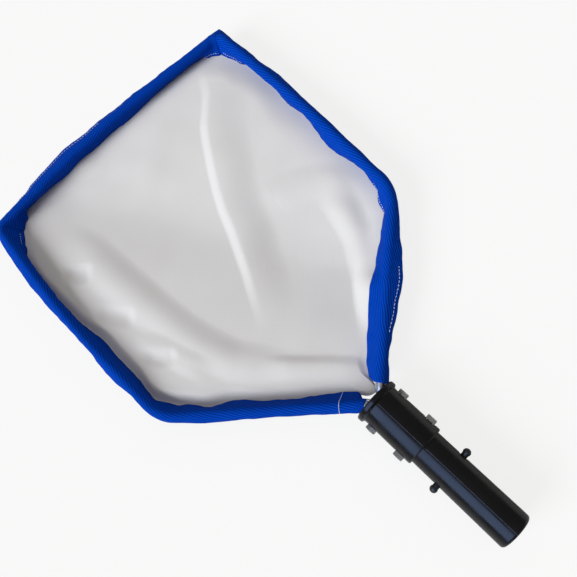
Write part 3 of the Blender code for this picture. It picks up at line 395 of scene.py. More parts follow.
FRONT_OUTER_REACH = [(0.0, 0.0046), (0.10, 0.0058), (0.15, 0.0075), (0.21, 0.0115), (0.35, 0.0160),
                     (0.45, 0.0125), (0.58, 0.0098), (0.75, 0.0073), (0.86, 0.0054), (1.0, 0.0046)]
RIGHT_INNER_REACH = [(0.0, 0.0095), (0.0595, 0.0052), (0.1092, 0.0004), (0.1787, -0.0006), (0.2481, 0.0040),
                     (0.3077, 0.0023), (0.4168, 0.0077), (0.5161, 0.0014), (0.5657, 0.0048),
                     (0.6104, 0.0100), (0.6402, 0.0076), (0.6947, 0.0090), (0.7543, 0.0112),
                     (0.8138, 0.0140), (0.9032, 0.0142), (0.9528, 0.0128), (1.0, 0.0092)]
RIGHT_OUTER_REACH = [(0.0, 0.0046), (0.1489, 0.0052), (0.2184, 0.0070), (0.3077, 0.0055), (0.6352, 0.0050),
                     (0.6947, 0.0073), (0.7444, 0.0104), (0.794, 0.0120), (0.8536, 0.0097), (0.9131, 0.0063),
                     (0.9429, 0.0052), (1.0, 0.0066)]
SEAM_HANG = 0.0125
WEBBING_THICKNESS = 0.0007
POCKET_WIDTH = 0.028
ROD_BUMP = 0.0015
WING_DROOP = 0.22
LOOP_RADIUS = ROD_RADIUS + 0.0003 + WEBBING_THICKNESS / 2      # of the webbing's middle, round the rod
FOLD_RADIUS = 0.0007
SEAM_RADIUS = 0.0005
FOLD_CLEARANCE = 0.00012
LEAST_OUTER_REACH = 0.0046
FLOOR_CLEARANCE = 0.0006


def eased(table, share):
    """a + (b - a) p^2 (3 - 2p) between neighbours of the table"""
    knots, values = np.array(table).T
    index = np.clip(np.searchsorted(knots, share) - 1, 0, len(knots) - 2)
    part = (share - knots[index]) / (knots[index + 1] - knots[index])
    return values[index] + (values[index + 1] - values[index]) * part * part * (3.0 - 2.0 * part)


def straight_run(start, end, steps, bow=0.0, tilt_in=0.0, tilt_out=0.0, corner_in=None, corner_out=None):
    """Rod centres, and base + offset * slope, the plan point at an offset to the inside.

    A mitred corner adds half of its bend; there the section lies on the mitre's slanting plane.
    """
    rod_part, lift = straight(start, end, steps, bow), bowed_offsets(start, end, steps, bow)
    base_start, base_end = start, end
    if corner_in is not None:
        base_start = corner_in.at
        rod_part = np.concatenate([corner_in.arc(10, 0.5, 1.0)[:-1], rod_part])
        lift = np.concatenate([np.zeros(10), lift])
    if corner_out is not None:
        base_end = corner_out.at
        rod_part = np.concatenate([rod_part, corner_out.arc(10, 0.0, 0.5)[1:]])
        lift = np.concatenate([lift, np.zeros(10)])
    travelled = np.concatenate([[0.0], np.cumsum(np.abs(np.diff(rod_part)))])
    share = travelled / travelled[-1]
    way = (base_end - base_start) / abs(base_end - base_start)
    base = base_start + (base_end - base_start) * share + lift
    slope = way * (INSIDE + tilt_in * (1.0 - share) - tilt_out * share)
    return rod_part, base, slope


def bend_run(corner, steps):
    """The same three arrays round a rounded corner, where the edges keep their distance."""
    centre = corner.arc(steps)[1:-1]
    return centre, centre, -(centre - corner.centre) / corner.radius


def neck_run(corner, steps, start, end):
    """The same round part of a neck bend, which turns the other way."""
    centre = corner.arc(steps, start, end)
    return centre, centre, (centre - corner.centre) / corner.radius


def join_runs(*runs):
    """Puts runs end to end."""
    return [np.concatenate(parts) for parts in zip(*runs)]


def taut_sections(inner, drop, outer, wing, stretch, counts=(14, 16, 5, 7, 5, 9, 14)):
    """Taut outline of the webbing round three circles at each station, as its way across and its way up.

    The rod's circle R sits at 0, the fold's circle at O and the seam's at I. A line touches two circles
    where both have the same normal angle f: cos(f - angle(O)) = (R - r) / |O|, and between fold and seam
    cos(f - angle(O - I)) = (r_seam - r_fold) / |O - I|. The path runs seam, over the rod, fold, back below.
    """
    seam = (inner / stretch) - 1j * drop
    fold = -np.maximum(outer / stretch - FOLD_RADIUS - WEBBING_THICKNESS / 2, 0.0) - 1j * wing
    least = LOOP_RADIUS - FOLD_RADIUS + FOLD_CLEARANCE
    fold = fold / np.abs(fold) * np.maximum(np.abs(fold), least)
    seam_angle = np.angle(seam)
    seam_angle = np.where(seam_angle > 0.5 * np.pi, seam_angle - 2 * np.pi, seam_angle)
    fold_angle = np.angle(fold) % (2 * np.pi)
    seam_reach = np.arccos((LOOP_RADIUS - SEAM_RADIUS) / np.maximum(np.abs(seam), LOOP_RADIUS))
    fold_reach = np.arccos((LOOP_RADIUS - FOLD_RADIUS) / np.abs(fold))
    top_in, top_out = seam_angle + seam_reach, fold_angle - fold_reach
    low_out, low_in = fold_angle + fold_reach, seam_angle + 2 * np.pi - seam_reach
    direct = low_out > low_in
    span = fold - seam
    slant = np.angle(span) % (2 * np.pi) + np.arccos((SEAM_RADIUS - FOLD_RADIUS) / np.abs(span))
    low_out, low_in = np.where(direct, slant, low_out), np.where(direct, slant, low_in)
    foot = np.where(direct, (fold * np.exp(-1j * slant)).real + FOLD_RADIUS, LOOP_RADIUS)

    def line(a, b, count):
        return a[:, None] + (b - a)[:, None] * np.arange(count) / count

    def bend(centre, radius, first, last, count):
        angle = first[:, None] + (last - first)[:, None] * np.arange(count) / count
        return centre[:, None] + radius[:, None] * np.exp(1j * angle)

    zero, ring = np.zeros_like(fold), np.ones(len(fold))
    normal_top_in, normal_top_out = np.exp(1j * top_in), np.exp(1j * top_out)
    normal_low_out, normal_low_in = np.exp(1j * low_out), np.exp(1j * low_in)
    parts = [
        line(seam + SEAM_RADIUS * normal_top_in, LOOP_RADIUS * normal_top_in, counts[0]),
        bend(zero, LOOP_RADIUS * ring, top_in, top_out, counts[1]),
        line(LOOP_RADIUS * normal_top_out, fold + FOLD_RADIUS * normal_top_out, counts[2]),
        bend(fold, FOLD_RADIUS * ring, top_out, low_out, counts[3]),
        line(fold + FOLD_RADIUS * normal_low_out, foot * normal_low_out, counts[4]),
        bend(zero, foot, low_out, low_in, counts[5]),
        line(foot * normal_low_in, seam + SEAM_RADIUS * normal_low_in, counts[6]),
        (seam + SEAM_RADIUS * normal_low_in)[:, None]]
    path = np.concatenate(parts, axis=1)
    return path.real * stretch[:, None], path.imag


def waves(along, across, seed, lengths, strengths):
    """Sum of a sin(k x + p) cos(q y + r) with seeded phases: soft, uneven slack."""
    draws = np.random.default_rng(seed)
    total = np.zeros(np.broadcast_shapes(along.shape, across.shape))
    for length, strength in zip(lengths, strengths):
        for _ in range(3):
            k = 2 * np.pi / (length * draws.uniform(0.75, 1.35))
            q = 2 * np.pi / (length * draws.uniform(1.2, 3.0))
            p, r = draws.uniform(0, 2 * np.pi, 2)
            total = total + strength * np.sin(k * along + p) * np.cos(q * across + r) / 2.2
    return total


def surface_normals(points):
    """Unit normals of a grid of points."""
    normal = np.cross(np.gradient(points, axis=0), np.gradient(points, axis=1))
    return normal / np.maximum(np.linalg.norm(normal, axis=-1, keepdims=True), 1e-12)


FOLD_COLUMN = 38


class Sleeve:
    """One length of webbing: its surface, its seam line and its fold line."""

    def __init__(self, runs, inner_table, outer_table, seed, start_cut=0.0, end_cut=0.0):
        centre, base, slope = runs
        self.along = np.concatenate([[0.0], np.cumsum(np.abs(np.diff(centre)))])
        share = self.along / self.along[-1]
        ripple = waves(self.along, np.zeros(1), seed, (0.05, 0.022), (0.0004, 0.00018))
        ends = np.minimum(1.0, np.minimum(self.along, self.along[-1] - self.along) / 0.02)
        inner = eased(inner_table, share) + ripple * ends
        fold_ripple = waves(self.along, np.zeros(1), seed + 1, (0.04, 0.018), (0.00025, 0.0001))
        outer = np.maximum(eased(outer_table, share) + fold_ripple * ends, LEAST_OUTER_REACH)
        spread = slope / np.abs(slope)
        across_way = ways_along(centre) * 1j
        stretch = 1.0 / np.maximum(np.abs((spread / across_way).real), 0.5)
        inner_flat = ((base + slope * inner - centre) / spread).real
        outer_flat = -((base - slope * outer - centre) / spread).real
        left_over = POCKET_WIDTH - outer - ROD_BUMP
        drop = np.minimum(np.sqrt(np.maximum(left_over ** 2 - inner ** 2, 0.0)), SEAM_HANG)
        wing = WING_DROOP * np.maximum(outer - 0.005, 0.0)
        across, up = taut_sections(inner_flat, drop, outer_flat, wing, stretch)
        plan = centre[:, None] + spread[:, None] * across
        points = np.stack([plan.real, plan.imag, up], axis=-1)
        points = self.shortened(points, start_cut, end_cut)
        steps = np.linalg.norm(np.diff(points, axis=1), axis=-1)
        self.round = np.concatenate([np.zeros((len(centre), 1)), np.cumsum(steps, axis=1)], axis=1)
        self.points = points
        self.seam_plan = centre + spread * inner_flat
        self.seam_drop = drop

    def shortened(self, points, start_cut, end_cut, over=0.030):
        """Slants the ends. At q of the way from seam to fold, the start loses start_cut q, and the end
        end_cut (1 - q / 0.55)^2, eased in over the last stretch.
        """
        columns = np.arange(points.shape[1])
        q = np.clip(np.where(columns <= FOLD_COLUMN, columns / FOLD_COLUMN,
                             (columns[-1] - columns) / (columns[-1] - FOLD_COLUMN)), 0.0, 1.0)
        along, length = self.along[:, None], self.along[-1]
        near_start = np.clip(1.0 - along / 0.006, 0.0, 1.0)
        near_end = np.clip((along - (length - over)) / over, 0.0, 1.0)
        drawn_back = np.maximum(1.0 - q / 0.55, 0.0) ** 2
        wanted = along + start_cut * q * near_start - end_cut * drawn_back * near_end ** 2
        index = np.interp(wanted, self.along, np.arange(len(self.along)))
        low = np.minimum(index.astype(int), len(self.along) - 2)
        part = (index - low)[..., None]
        return points[low, columns] * (1.0 - part) + points[low + 1, columns] * part


mitre_left = math.tan(abs(front_bend_left.turn) / 2)
mitre_right = math.tan(abs(front_bend_right.turn) / 2)
left_runs = join_runs(
    neck_run(neck_bend_left, 16, 0.60, 0.985),
    straight_run(neck_bend_left.end, shoulder_bend_left.start, 96),
    bend_run(shoulder_bend_left, 30),
    straight_run(shoulder_bend_left.end, front_bend_left.start, 160, LEFT_BOW, 0.0, mitre_left,
                 corner_out=front_bend_left))
front_runs = straight_run(front_bend_left.end, front_bend_right.start, 190, FRONT_BOW, mitre_left,
                          mitre_right, front_bend_left, front_bend_right)
right_runs = join_runs(
    straight_run(front_bend_right.end, shoulder_bend_right.start, 150, RIGHT_BOW, mitre_right, 0.0,
                 corner_in=front_bend_right),
    bend_run(shoulder_bend_right, 30),
    straight_run(shoulder_bend_right.end, neck_bend_right.start, 96))
left = Sleeve(left_runs, LEFT_INNER_REACH, LEFT_OUTER_REACH, 11, start_cut=0.0053)
front = Sleeve(front_runs, FRONT_INNER_REACH, FRONT_OUTER_REACH, 23)
right = Sleeve(right_runs, RIGHT_INNER_REACH, RIGHT_OUTER_REACH, 37, end_cut=0.0055)


# Twill: ribs at a slant to the tape's length, each made of short floats. 0 in a groove, 1 on a rib.
twill, way_in, way_out = new_group(
    "twill_ribs", [("Vector", "NodeSocketVector", None), ("Pitch", "NodeSocketFloat", 0.0015),
                   ("Slant", "NodeSocketFloat", 0.3), ("Waver", "NodeSocketFloat", 0.0006)],
    [("Ribs", "NodeSocketFloat"), ("Height", "NodeSocketFloat")])
split = twill.nodes.new("ShaderNodeSeparateXYZ")
twill.links.new(way_in.outputs["Vector"], split.inputs["Vector"])
unrest = maths(twill, "SUBTRACT", noise_value(twill, way_in.outputs["Vector"], 90.0), 0.5)
waver = maths(twill, "MULTIPLY", unrest, way_in.outputs["Waver"])
leaning = maths(twill, "SUBTRACT", split.outputs["Y"],
                maths(twill, "MULTIPLY", split.outputs["X"], way_in.outputs["Slant"]))
turns = maths(twill, "DIVIDE", maths(twill, "ADD", leaning, waver), way_in.outputs["Pitch"])
wave = maths(twill, "SINE", maths(twill, "MULTIPLY", turns, 2 * math.pi))
ribs = maths(twill, "SMOOTH_MIN", maths(twill, "MULTIPLY_ADD", wave, 0.5, 0.62), 1.0, 0.25)
rib_way = maths(twill, "ADD", split.outputs["X"],
                maths(twill, "MULTIPLY", split.outputs["Y"], way_in.outputs["Slant"]))
along_rib = maths(twill, "DIVIDE", rib_way, way_in.outputs["Pitch"])
floats = maths(twill, "SINE", maths(twill, "MULTIPLY_ADD", along_rib, 2 * math.pi * 0.8,
                                    maths(twill, "MULTIPLY", turns, math.pi)))
twill.links.new(ribs, way_out.inputs["Ribs"])
twill.links.new(maths(twill, "MULTIPLY_ADD", floats, 0.16, ribs), way_out.inputs["Height"])

webbing, tree, shader = new_material("blue_webbing", (0.001, 0.052, 0.44), 0.75)
shader.inputs["Specular IOR Level"].default_value = 0.02
cut = coordinates(tree, "cut")
weave = placed(tree, twill, cut, Pitch=0.0021, Slant=0.32)
patches = noise_value(tree, cut, 55.0, 3.0)
# The grooves between the ribs are painted much darker than the ribs: painted shade in the twill's grooves.
rib_and_groove_shade = blend_colour(tree, weave.outputs["Ribs"], (0.0003, 0.0145, 0.165), (0.0009, 0.055, 0.45))
worn = maths(tree, "MULTIPLY", maths(tree, "SUBTRACT", patches, 0.35), 0.5)
tree.links.new(blend_colour(tree, worn, rib_and_groove_shade, (0.0007, 0.033, 0.295)), shader.inputs["Base Color"])
add_relief(tree, shader, weave.outputs["Height"], 0.75, 0.00028)

for name, sleeve, seed, lean in (("left", left, 5, -1.0), ("front", front, 6, 1.0),
                                 ("right", right, 7, 1.0)):
    along, across = sleeve.along[:, None], sleeve.round
    width = across[:, -1:]
    slack = waves(along, across, seed, (0.035, 0.014, 0.007), (0.00032, 0.00020, 0.00008))
    over_rod = np.exp(-((across - width * 0.45) / 0.008) ** 2)
    points = sleeve.points + surface_normals(sleeve.points) * (slack * (1.0 - 0.6 * over_rod))[..., None]
    points[..., 2] = np.maximum(points[..., 2], FLOOR_CLEARANCE - mouth[2])
    sleeve.surface = points + mouth
    uv = np.stack([np.broadcast_to(along * lean, across.shape), across], axis=-1)
    piece = grid_object(name + "_webbing", sleeve.surface, webbing, uv=uv)
    solid = piece.modifiers.new("thickness", "SOLIDIFY")
    solid.thickness = WEBBING_THICKNESS
    solid.offset = 0.0
    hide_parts(name + "_sleeve")
    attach(piece, "root")


# ---- stitches: white polyester thread, machine sewn through both layers of the tape. It shows where the
# seam turns up to the light, and on the tack across the left length by the handle.
THREAD_RADIUS = 0.00026
THREAD_SIDES = 6
STITCH = 0.0031
STITCH_DEPTH = 0.00045
POINTS_PER_STITCH = 10
TACK_POINTS = 60


def thread_run(sleeve, row_share, q):
    """Points on the sleeve's outside, q of the way from the seam to the fold, with their normals."""
    rows = np.interp(row_share * sleeve.along[-1], sleeve.along, np.arange(len(sleeve.along)))
    measured = sleeve.round[:, :FOLD_COLUMN + 1] / sleeve.round[:, FOLD_COLUMN:FOLD_COLUMN + 1]
    low = np.minimum(rows.astype(int), len(sleeve.along) - 2)
    columns = np.array([np.interp(value, measured[row], np.arange(FOLD_COLUMN + 1))
                        for value, row in zip(q, low)])
    first = np.minimum(columns.astype(int), FOLD_COLUMN - 1)
    a, b = (rows - low)[:, None], (columns - first)[:, None]

    def sample(grid):
        return ((grid[low, first] * (1 - a) + grid[low + 1, first] * a) * (1 - b)
                + (grid[low, first + 1] * (1 - a) + grid[low + 1, first + 1] * a) * b)

    normal = sample(surface_normals(sleeve.surface))
    return sample(sleeve.surface), normal / np.linalg.norm(normal, axis=-1, keepdims=True)


def thread_tube(line, normal, height):
    """Round thread along line, lifted by height along the normals: dips below the cloth between stitches."""
    centre = line + normal * height[:, None]
    way = np.gradient(centre, axis=0)
    way /= np.linalg.norm(way, axis=-1, keepdims=True)
    side = np.cross(way, normal)
    side /= np.linalg.norm(side, axis=-1, keepdims=True)
    up = np.cross(side, way)
    turn = np.linspace(0.0, 2 * np.pi, THREAD_SIDES, endpoint=False)[:, None]
    return centre[:, None] + THREAD_RADIUS * (side[:, None] * np.cos(turn) + up[:, None] * np.sin(turn))


thread, tree, shader = new_material("white_thread", (0.66, 0.68, 0.78), 0.7)
fibre = noise_value(tree, coordinates(tree), 2600.0)
tree.links.new(blend_colour(tree, fibre, (0.30, 0.38, 0.66), (0.60, 0.66, 0.80)),
               shader.inputs["Base Color"])

# Name, sleeve, share of its length at both ends, place q from seam to fold at both ends, zigzag, how much
# of each stitch shows.
STITCH_RUNS = [
    ("outer_front", front, (0.10, 0.50), (0.91, 0.80), 0.0, 0.62),
    ("outer_rear", right, (0.770, 0.905), (0.90, 0.885), 0.0, 0.62),
    ("front_corner", front, (0.930, 0.992), (0.13, 0.10), 0.0007, 0.12),
    ("right_corner", right, (0.010, 0.080), (0.10, 0.14), 0.0007, 0.16),
    ("shoulder", right, (0.560, 0.650), (0.12, 0.10), 0.0008, 0.30),
    ("left_corner", left, (0.955, 0.992), (0.14, 0.12), 0.0005, 0.05),
]
for name, sleeve, ends, places, zigzag, showing in STITCH_RUNS:
    length = (ends[1] - ends[0]) * sleeve.along[-1]
    count = int(length / STITCH * POINTS_PER_STITCH)
    s = np.linspace(0.0, 1.0, count)
    phase = s * length / STITCH * 2 * np.pi
    q = places[0] + (places[1] - places[0]) * s + zigzag / 0.030 * np.sin(phase * 0.5)
    line, normal = thread_run(sleeve, ends[0] + (ends[1] - ends[0]) * s, q)
    depth = STITCH_DEPTH * (np.cos(phase) + showing - 0.5) + WEBBING_THICKNESS / 2 - THREAD_RADIUS * 0.3
    piece = grid_object(name + "_stitches", thread_tube(line, normal, depth), thread, close_round=True)
    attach(piece, "root")
tack_q = np.linspace(0.02, 0.99, TACK_POINTS)
line, normal = thread_run(left, 0.0475 + 0.004 * tack_q, tack_q)
tack_height = WEBBING_THICKNESS / 2 + 0.00012 + 0.00008 * np.sin(tack_q * 60.0)
tack = grid_object("tack_stitches", thread_tube(line, normal, tack_height), thread, close_round=True)
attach(tack, "root")


# ---- mesh bag: one sheet of fine white polyester mesh. Its rim is sewn into the pocket's seam, its middle
# lies on the floor, and its slack lies in soft folds. It bridges the gap between the pocket's two rear ends.
TAB_LENGTH = 0.0074
beyond_tab = left.along > TAB_LENGTH
seam_plan = np.concatenate([left.seam_plan[beyond_tab], front.seam_plan, right.seam_plan])
seam_up = -np.concatenate([left.seam_drop[beyond_tab], front.seam_drop, right.seam_drop])
NECK_LINE = [(0.0112, 0.0048), (0.0070, 0.0040), (0.0010, 0.0056), (-0.0038, 0.0068)]
NECK_DROP = (0.0085, 0.0078, 0.0080, 0.0095)
neck_plan = np.array([complex(*point) for point in NECK_LINE])
neck_up = -np.array(NECK_DROP)
rim_plan = np.concatenate([seam_plan, neck_plan])
rim_up = np.concatenate([seam_up, neck_up])
rim_length = np.concatenate([[0.0], np.cumsum(np.abs(np.diff(np.append(rim_plan, rim_plan[0]))))])
RIM_POINTS = 620
at = np.linspace(0.0, rim_length[-1], RIM_POINTS, endpoint=False)
rim_x = np.interp(at, rim_length, np.append(rim_plan.real, rim_plan[0].real))
rim_y = np.interp(at, rim_length, np.append(rim_plan.imag, rim_plan[0].imag))
rim_z = np.interp(at, rim_length, np.append(rim_up, rim_up[0]))


def smoothed(values, reach=4):
    """Running mean of a closed line with bell weights."""
    offsets = np.arange(-2 * reach, 2 * reach + 1)
    weights = np.exp(-(offsets / reach) ** 2)
    return sum(weight * np.roll(values, offset) for offset, weight in zip(offsets, weights)) / weights.sum()


BOWL_MIDDLE = complex(-0.012, 0.215)
TUCK, TUCK_DROP = 1.006, 0.0004             # the rim goes a little under the tape's sewn edge
rim_x = BOWL_MIDDLE.real + (smoothed(rim_x) - BOWL_MIDDLE.real) * TUCK
rim_y = BOWL_MIDDLE.imag + (smoothed(rim_y) - BOWL_MIDDLE.imag) * TUCK
rim_z = smoothed(rim_z) - TUCK_DROP
RIM_BAND, HOLE_SHARE = 0.9, 0.02
ring = np.concatenate([np.linspace(1.0, RIM_BAND, 20)[:-1], np.linspace(RIM_BAND, HOLE_SHARE, 110)])[:, None]
bag_x = BOWL_MIDDLE.real + ring * (rim_x - BOWL_MIDDLE.real)
bag_y = BOWL_MIDDLE.imag + ring * (rim_y - BOWL_MIDDLE.imag)
rim_distance = (1.0 - ring) * np.hypot(rim_x - BOWL_MIDDLE.real, rim_y - BOWL_MIDDLE.imag)
# The sheet lies on the floor along a valley, and climbs from it to both sides, up to a top.
LEAST_HEIGHT = 0.0005
VALLEY_START, VALLEY_END = complex(-0.045, 0.350), complex(0.065, 0.095)
LEFT_CLIMB, LEFT_EASE, LEFT_TOP = 0.190, 0.024, 0.0125
RIGHT_CLIMB, RIGHT_EASE, RIGHT_TOP = 0.165, 0.048, 0.0097
RIM_EASE_LEFT, RIM_EASE_RIGHT = 0.013, 0.030
# Soft folds and dents: crest in plan, height, reach of its flanks to -X and to +X at the crest's start and
# end. In turn: left fold, middle ridge, right streak, shoulder crease, mouth pleat, front swell, rear left
# fold, and the three dents that make the left fold wander.
FOLDS = [
    ([(-0.100, 0.380), (-0.103, 0.352), (-0.100, 0.335), (-0.095, 0.318), (-0.089, 0.300), (-0.086, 0.265),
      (-0.082, 0.225), (-0.079, 0.195), (-0.075, 0.165), (-0.069, 0.140), (-0.059, 0.110), (-0.047, 0.092),
      (-0.031, 0.065), (-0.014, 0.048), (0.000, 0.032)], 0.0030, (0.030, 0.017), (0.026, 0.018)),
    ([(0.138, 0.356), (0.120, 0.334), (0.110, 0.318), (0.098, 0.307), (0.085, 0.296), (0.076, 0.284),
      (0.066, 0.269), (0.055, 0.253), (0.045, 0.237), (0.036, 0.220), (0.027, 0.198), (0.018, 0.178),
      (0.008, 0.157), (-0.002, 0.138), (-0.012, 0.118), (-0.020, 0.100)],
     0.0038, (0.012, 0.011), (0.046, 0.030)),
    ([(0.112, 0.165), (0.106, 0.146), (0.100, 0.125), (0.094, 0.108), (0.085, 0.094), (0.075, 0.080),
      (0.064, 0.065), (0.054, 0.052), (0.046, 0.042)], 0.0033, (0.018, 0.015), (0.021, 0.010)),
    ([(0.052, 0.192), (0.072, 0.190), (0.092, 0.181), (0.110, 0.168), (0.126, 0.154), (0.142, 0.140)],
     0.0016, (0.020, 0.024), (0.022, 0.016)),
    ([(-0.046, 0.092), (-0.030, 0.074), (-0.018, 0.060), (-0.0055, 0.046), (0.0062, 0.032), (0.0125, 0.021),
      (0.0155, 0.012)], 0.0021, (0.016, 0.018), (0.0075, 0.0110)),
    ([(-0.052, 0.385), (-0.030, 0.345), (0.006, 0.318), (0.052, 0.312)],
     0.0012, (0.040, 0.034), (0.048, 0.040)),
    ([(-0.110, 0.200), (-0.098, 0.172), (-0.088, 0.140), (-0.078, 0.112)],
     0.0018, (0.014, 0.014), (0.012, 0.012)),
    ([(-0.122, 0.306), (-0.108, 0.288), (-0.096, 0.276)], -0.0022, (0.012, 0.012), (0.012, 0.012)),
    ([(-0.122, 0.244), (-0.107, 0.222), (-0.094, 0.206)], -0.0022, (0.012, 0.012), (0.012, 0.012)),
    ([(-0.116, 0.176), (-0.100, 0.158), (-0.088, 0.150)], -0.0018, (0.010, 0.010), (0.010, 0.010)),
]
FOLD_FADE = 0.30                            # share of a fold's length over which it fades at each end


def fold_height(x, y, line, height, reach_left, reach_right):
    """height (1 - (d / w)^2)^2, d the distance from the crest, w the flank's reach, fading in and out"""
    line = np.array(line)
    spans = np.linalg.norm(np.diff(line, axis=0), axis=1)
    before = np.concatenate([[0.0], np.cumsum(spans)[:-1]])
    nearest, side, share = np.full(x.shape, np.inf), np.zeros(x.shape), np.zeros(x.shape)
    for (ax, ay), (bx, by), span, passed in zip(line[:-1], line[1:], spans, before):
        along = np.clip(((x - ax) * (bx - ax) + (y - ay) * (by - ay)) / span ** 2, 0.0, 1.0)
        dx, dy = x - ax - along * (bx - ax), y - ay - along * (by - ay)
        closer = np.hypot(dx, dy) < nearest
        nearest = np.where(closer, np.hypot(dx, dy), nearest)
        side = np.where(closer, dx, side)
        share = np.where(closer, (passed + along * span) / spans.sum(), share)
    reach = np.where(side < 0, reach_left[0] + (reach_left[1] - reach_left[0]) * share,
                     reach_right[0] + (reach_right[1] - reach_right[0]) * share)
    fade = np.sin(np.pi / 2 * np.clip(np.minimum(share, 1.0 - share) / FOLD_FADE, 0.0, 1.0)) ** 2
    return height * np.maximum(1.0 - (nearest / reach) ** 2, 0.0) ** 2 * fade


valley = (VALLEY_END - VALLEY_START) / abs(VALLEY_END - VALLEY_START)
aside = -((bag_x - VALLEY_START.real) * valley.imag - (bag_y - VALLEY_START.imag) * valley.real)
ease = np.where(aside < 0, LEFT_EASE, RIGHT_EASE)
climbed = np.where(aside < 0, LEFT_CLIMB, RIGHT_CLIMB) * (np.sqrt(aside ** 2 + ease ** 2) - ease)
top = np.where(aside < 0, LEFT_TOP, RIGHT_TOP)
bag_up = LEAST_HEIGHT + top * (1.0 - np.exp(-climbed / top))
bag_up = bag_up + sum(fold_height(bag_x, bag_y, *fold) for fold in FOLDS)
slanting, crossing = 0.8 * bag_x + 0.6 * bag_y, 0.8 * bag_y - 0.6 * bag_x
soft = waves(slanting, crossing, 51, (0.12, 0.05), (0.0007, 0.00022))
soft = soft + waves(bag_y, bag_x, 52, (0.10, 0.045), (0.0006, 0.00018))
bag_up = bag_up + np.maximum(soft + 0.0004, 0.0)
to_right = np.clip(aside / 0.1 + 0.5, 0.0, 1.0)
part = np.clip(rim_distance / (RIM_EASE_LEFT + (RIM_EASE_RIGHT - RIM_EASE_LEFT) * to_right), 0.0, 1.0)
rim_height = rim_z + mouth[2]
bag_z = rim_height + (bag_up - rim_height) * part * part * (3.0 - 2.0 * part) - mouth[2]
bag_points = np.stack([bag_x, bag_y, bag_z], axis=-1)

# Plain mesh of round threads, square to the net. 0 in a hole, 1 on a crossing.
netting, way_in, way_out = new_group(
    "fine_netting", [("Vector", "NodeSocketVector", None), ("Pitch", "NodeSocketFloat", 0.0013),
                     ("Waver", "NodeSocketFloat", 0.004)],
    [("Threads", "NodeSocketFloat"), ("Height", "NodeSocketFloat")])
split = netting.nodes.new("ShaderNodeSeparateXYZ")
netting.links.new(way_in.outputs["Vector"], split.inputs["Vector"])
drift = noise_value(netting, way_in.outputs["Vector"], 9.0, 1.0)
bend_x = maths(netting, "MULTIPLY", drift, way_in.outputs["Waver"])
thread_waves = []
for axis, other in (("X", "Y"), ("Y", "X")):
    shifted = maths(netting, "ADD", split.outputs[axis], bend_x)
    turned = maths(netting, "MULTIPLY_ADD", split.outputs[other], 0.06, shifted)
    passed = maths(netting, "DIVIDE", turned, way_in.outputs["Pitch"])
    thread_waves.append(maths(netting, "SINE", maths(netting, "MULTIPLY", passed, 2 * math.pi)))
netting.links.new(maths(netting, "MULTIPLY_ADD", maths(netting, "ADD", *thread_waves), 0.25, 0.5),
                  way_out.inputs["Threads"])
netting.links.new(maths(netting, "MAXIMUM", *thread_waves), way_out.inputs["Height"])

mesh_cloth, tree, shader = new_material("white_mesh", (0.60, 0.60, 0.60), 0.85)
shader.inputs["Specular IOR Level"].default_value = 0.2
place = coordinates(tree)
net_weave = placed(tree, netting, place, Pitch=0.00135)
clouds = noise_value(tree, place, 16.0, 3.0)
specks = noise_value(tree, place, 900.0, 1.0)
cloth_colour = blend_colour(tree, clouds, (0.715, 0.700, 0.680), (0.690, 0.700, 0.725))
# The holes between the threads are painted grey: painted shade of the floor under the net, seen through it.
threads = maths(tree, "MULTIPLY_ADD", net_weave.outputs["Threads"], 0.34,
                maths(tree, "MULTIPLY", specks, 0.25))
tree.links.new(blend_colour(tree, threads, (0.56, 0.56, 0.575), cloth_colour), shader.inputs["Base Color"])
add_relief(tree, shader, net_weave.outputs["Height"], 0.35, 0.0001)
bag = grid_object("draped_mesh_bag", bag_points + mouth, mesh_cloth, close_round=True)
work = bmesh.new()
work.from_mesh(bag.data)
work.faces.new([vertex for vertex in work.verts if vertex.index >= (len(ring) - 1) * RIM_POINTS])
bmesh.ops.recalc_face_normals(work, faces=work.faces)
work.to_mesh(bag.data)
bag_area = sum(face.calc_area() for face in work.faces)
work.free()
bag.data.shade_smooth()
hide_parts("mesh_bag")
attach(bag, "root")


# ---- housing and pole tube: glossy black mouldings. The housing's flange faces the hoop, the tube sits in
# its rear bore behind a crisp step and slides into the pole. The mould leaves a fine ridge along the top.
SMOOTH_ANGLE = 32.0


def smooth_copy(node, name, material, bevel=0.0, body="root"):
    """A merged copy of a CAD node with smooth shading, which stands for the node."""
    source = bpy.data.objects[node]
    mesh = source.data.copy()
    mesh.name = name
    work = bmesh.new()
    work.from_mesh(mesh)
    work.transform(source.matrix_world)
    bmesh.ops.remove_doubles(work, verts=work.verts, dist=1e-6)
    bmesh.ops.dissolve_limit(work, angle_limit=math.radians(0.5), verts=work.verts, edges=work.edges)
    bmesh.ops.recalc_face_normals(work, faces=work.faces)
    work.to_mesh(mesh)
    work.free()
    mesh.materials.clear()
    mesh.materials.append(material)
    mesh.shade_smooth()
    mesh.set_sharp_from_angle(angle=math.radians(SMOOTH_ANGLE))
    piece = bpy.data.objects.new(name, mesh)
    bpy.context.scene.collection.objects.link(piece)
    if bevel:
        edge = piece.modifiers.new("edges", "BEVEL")
        edge.width = bevel
        edge.segments = 2
        edge.limit_method = "ANGLE"
        edge.angle_limit = math.radians(SMOOTH_ANGLE)
        edge.harden_normals = True
    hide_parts(node)
    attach(piece, body)
    return piece


black_plastic, shader = hard_material("moulded_black", (0.0025, 0.0025, 0.0035), (0.0065, 0.0065, 0.0075),
                                      0.19, 0.16, Streaks=700.0, Patches=70.0)
shader.inputs["Specular IOR Level"].default_value = 0.27
smooth_copy("handle_housing", "moulded_housing", black_plastic, bevel=0.00025)
smooth_copy("pole_insert_tube", "moulded_tube", black_plastic, bevel=0.0002)
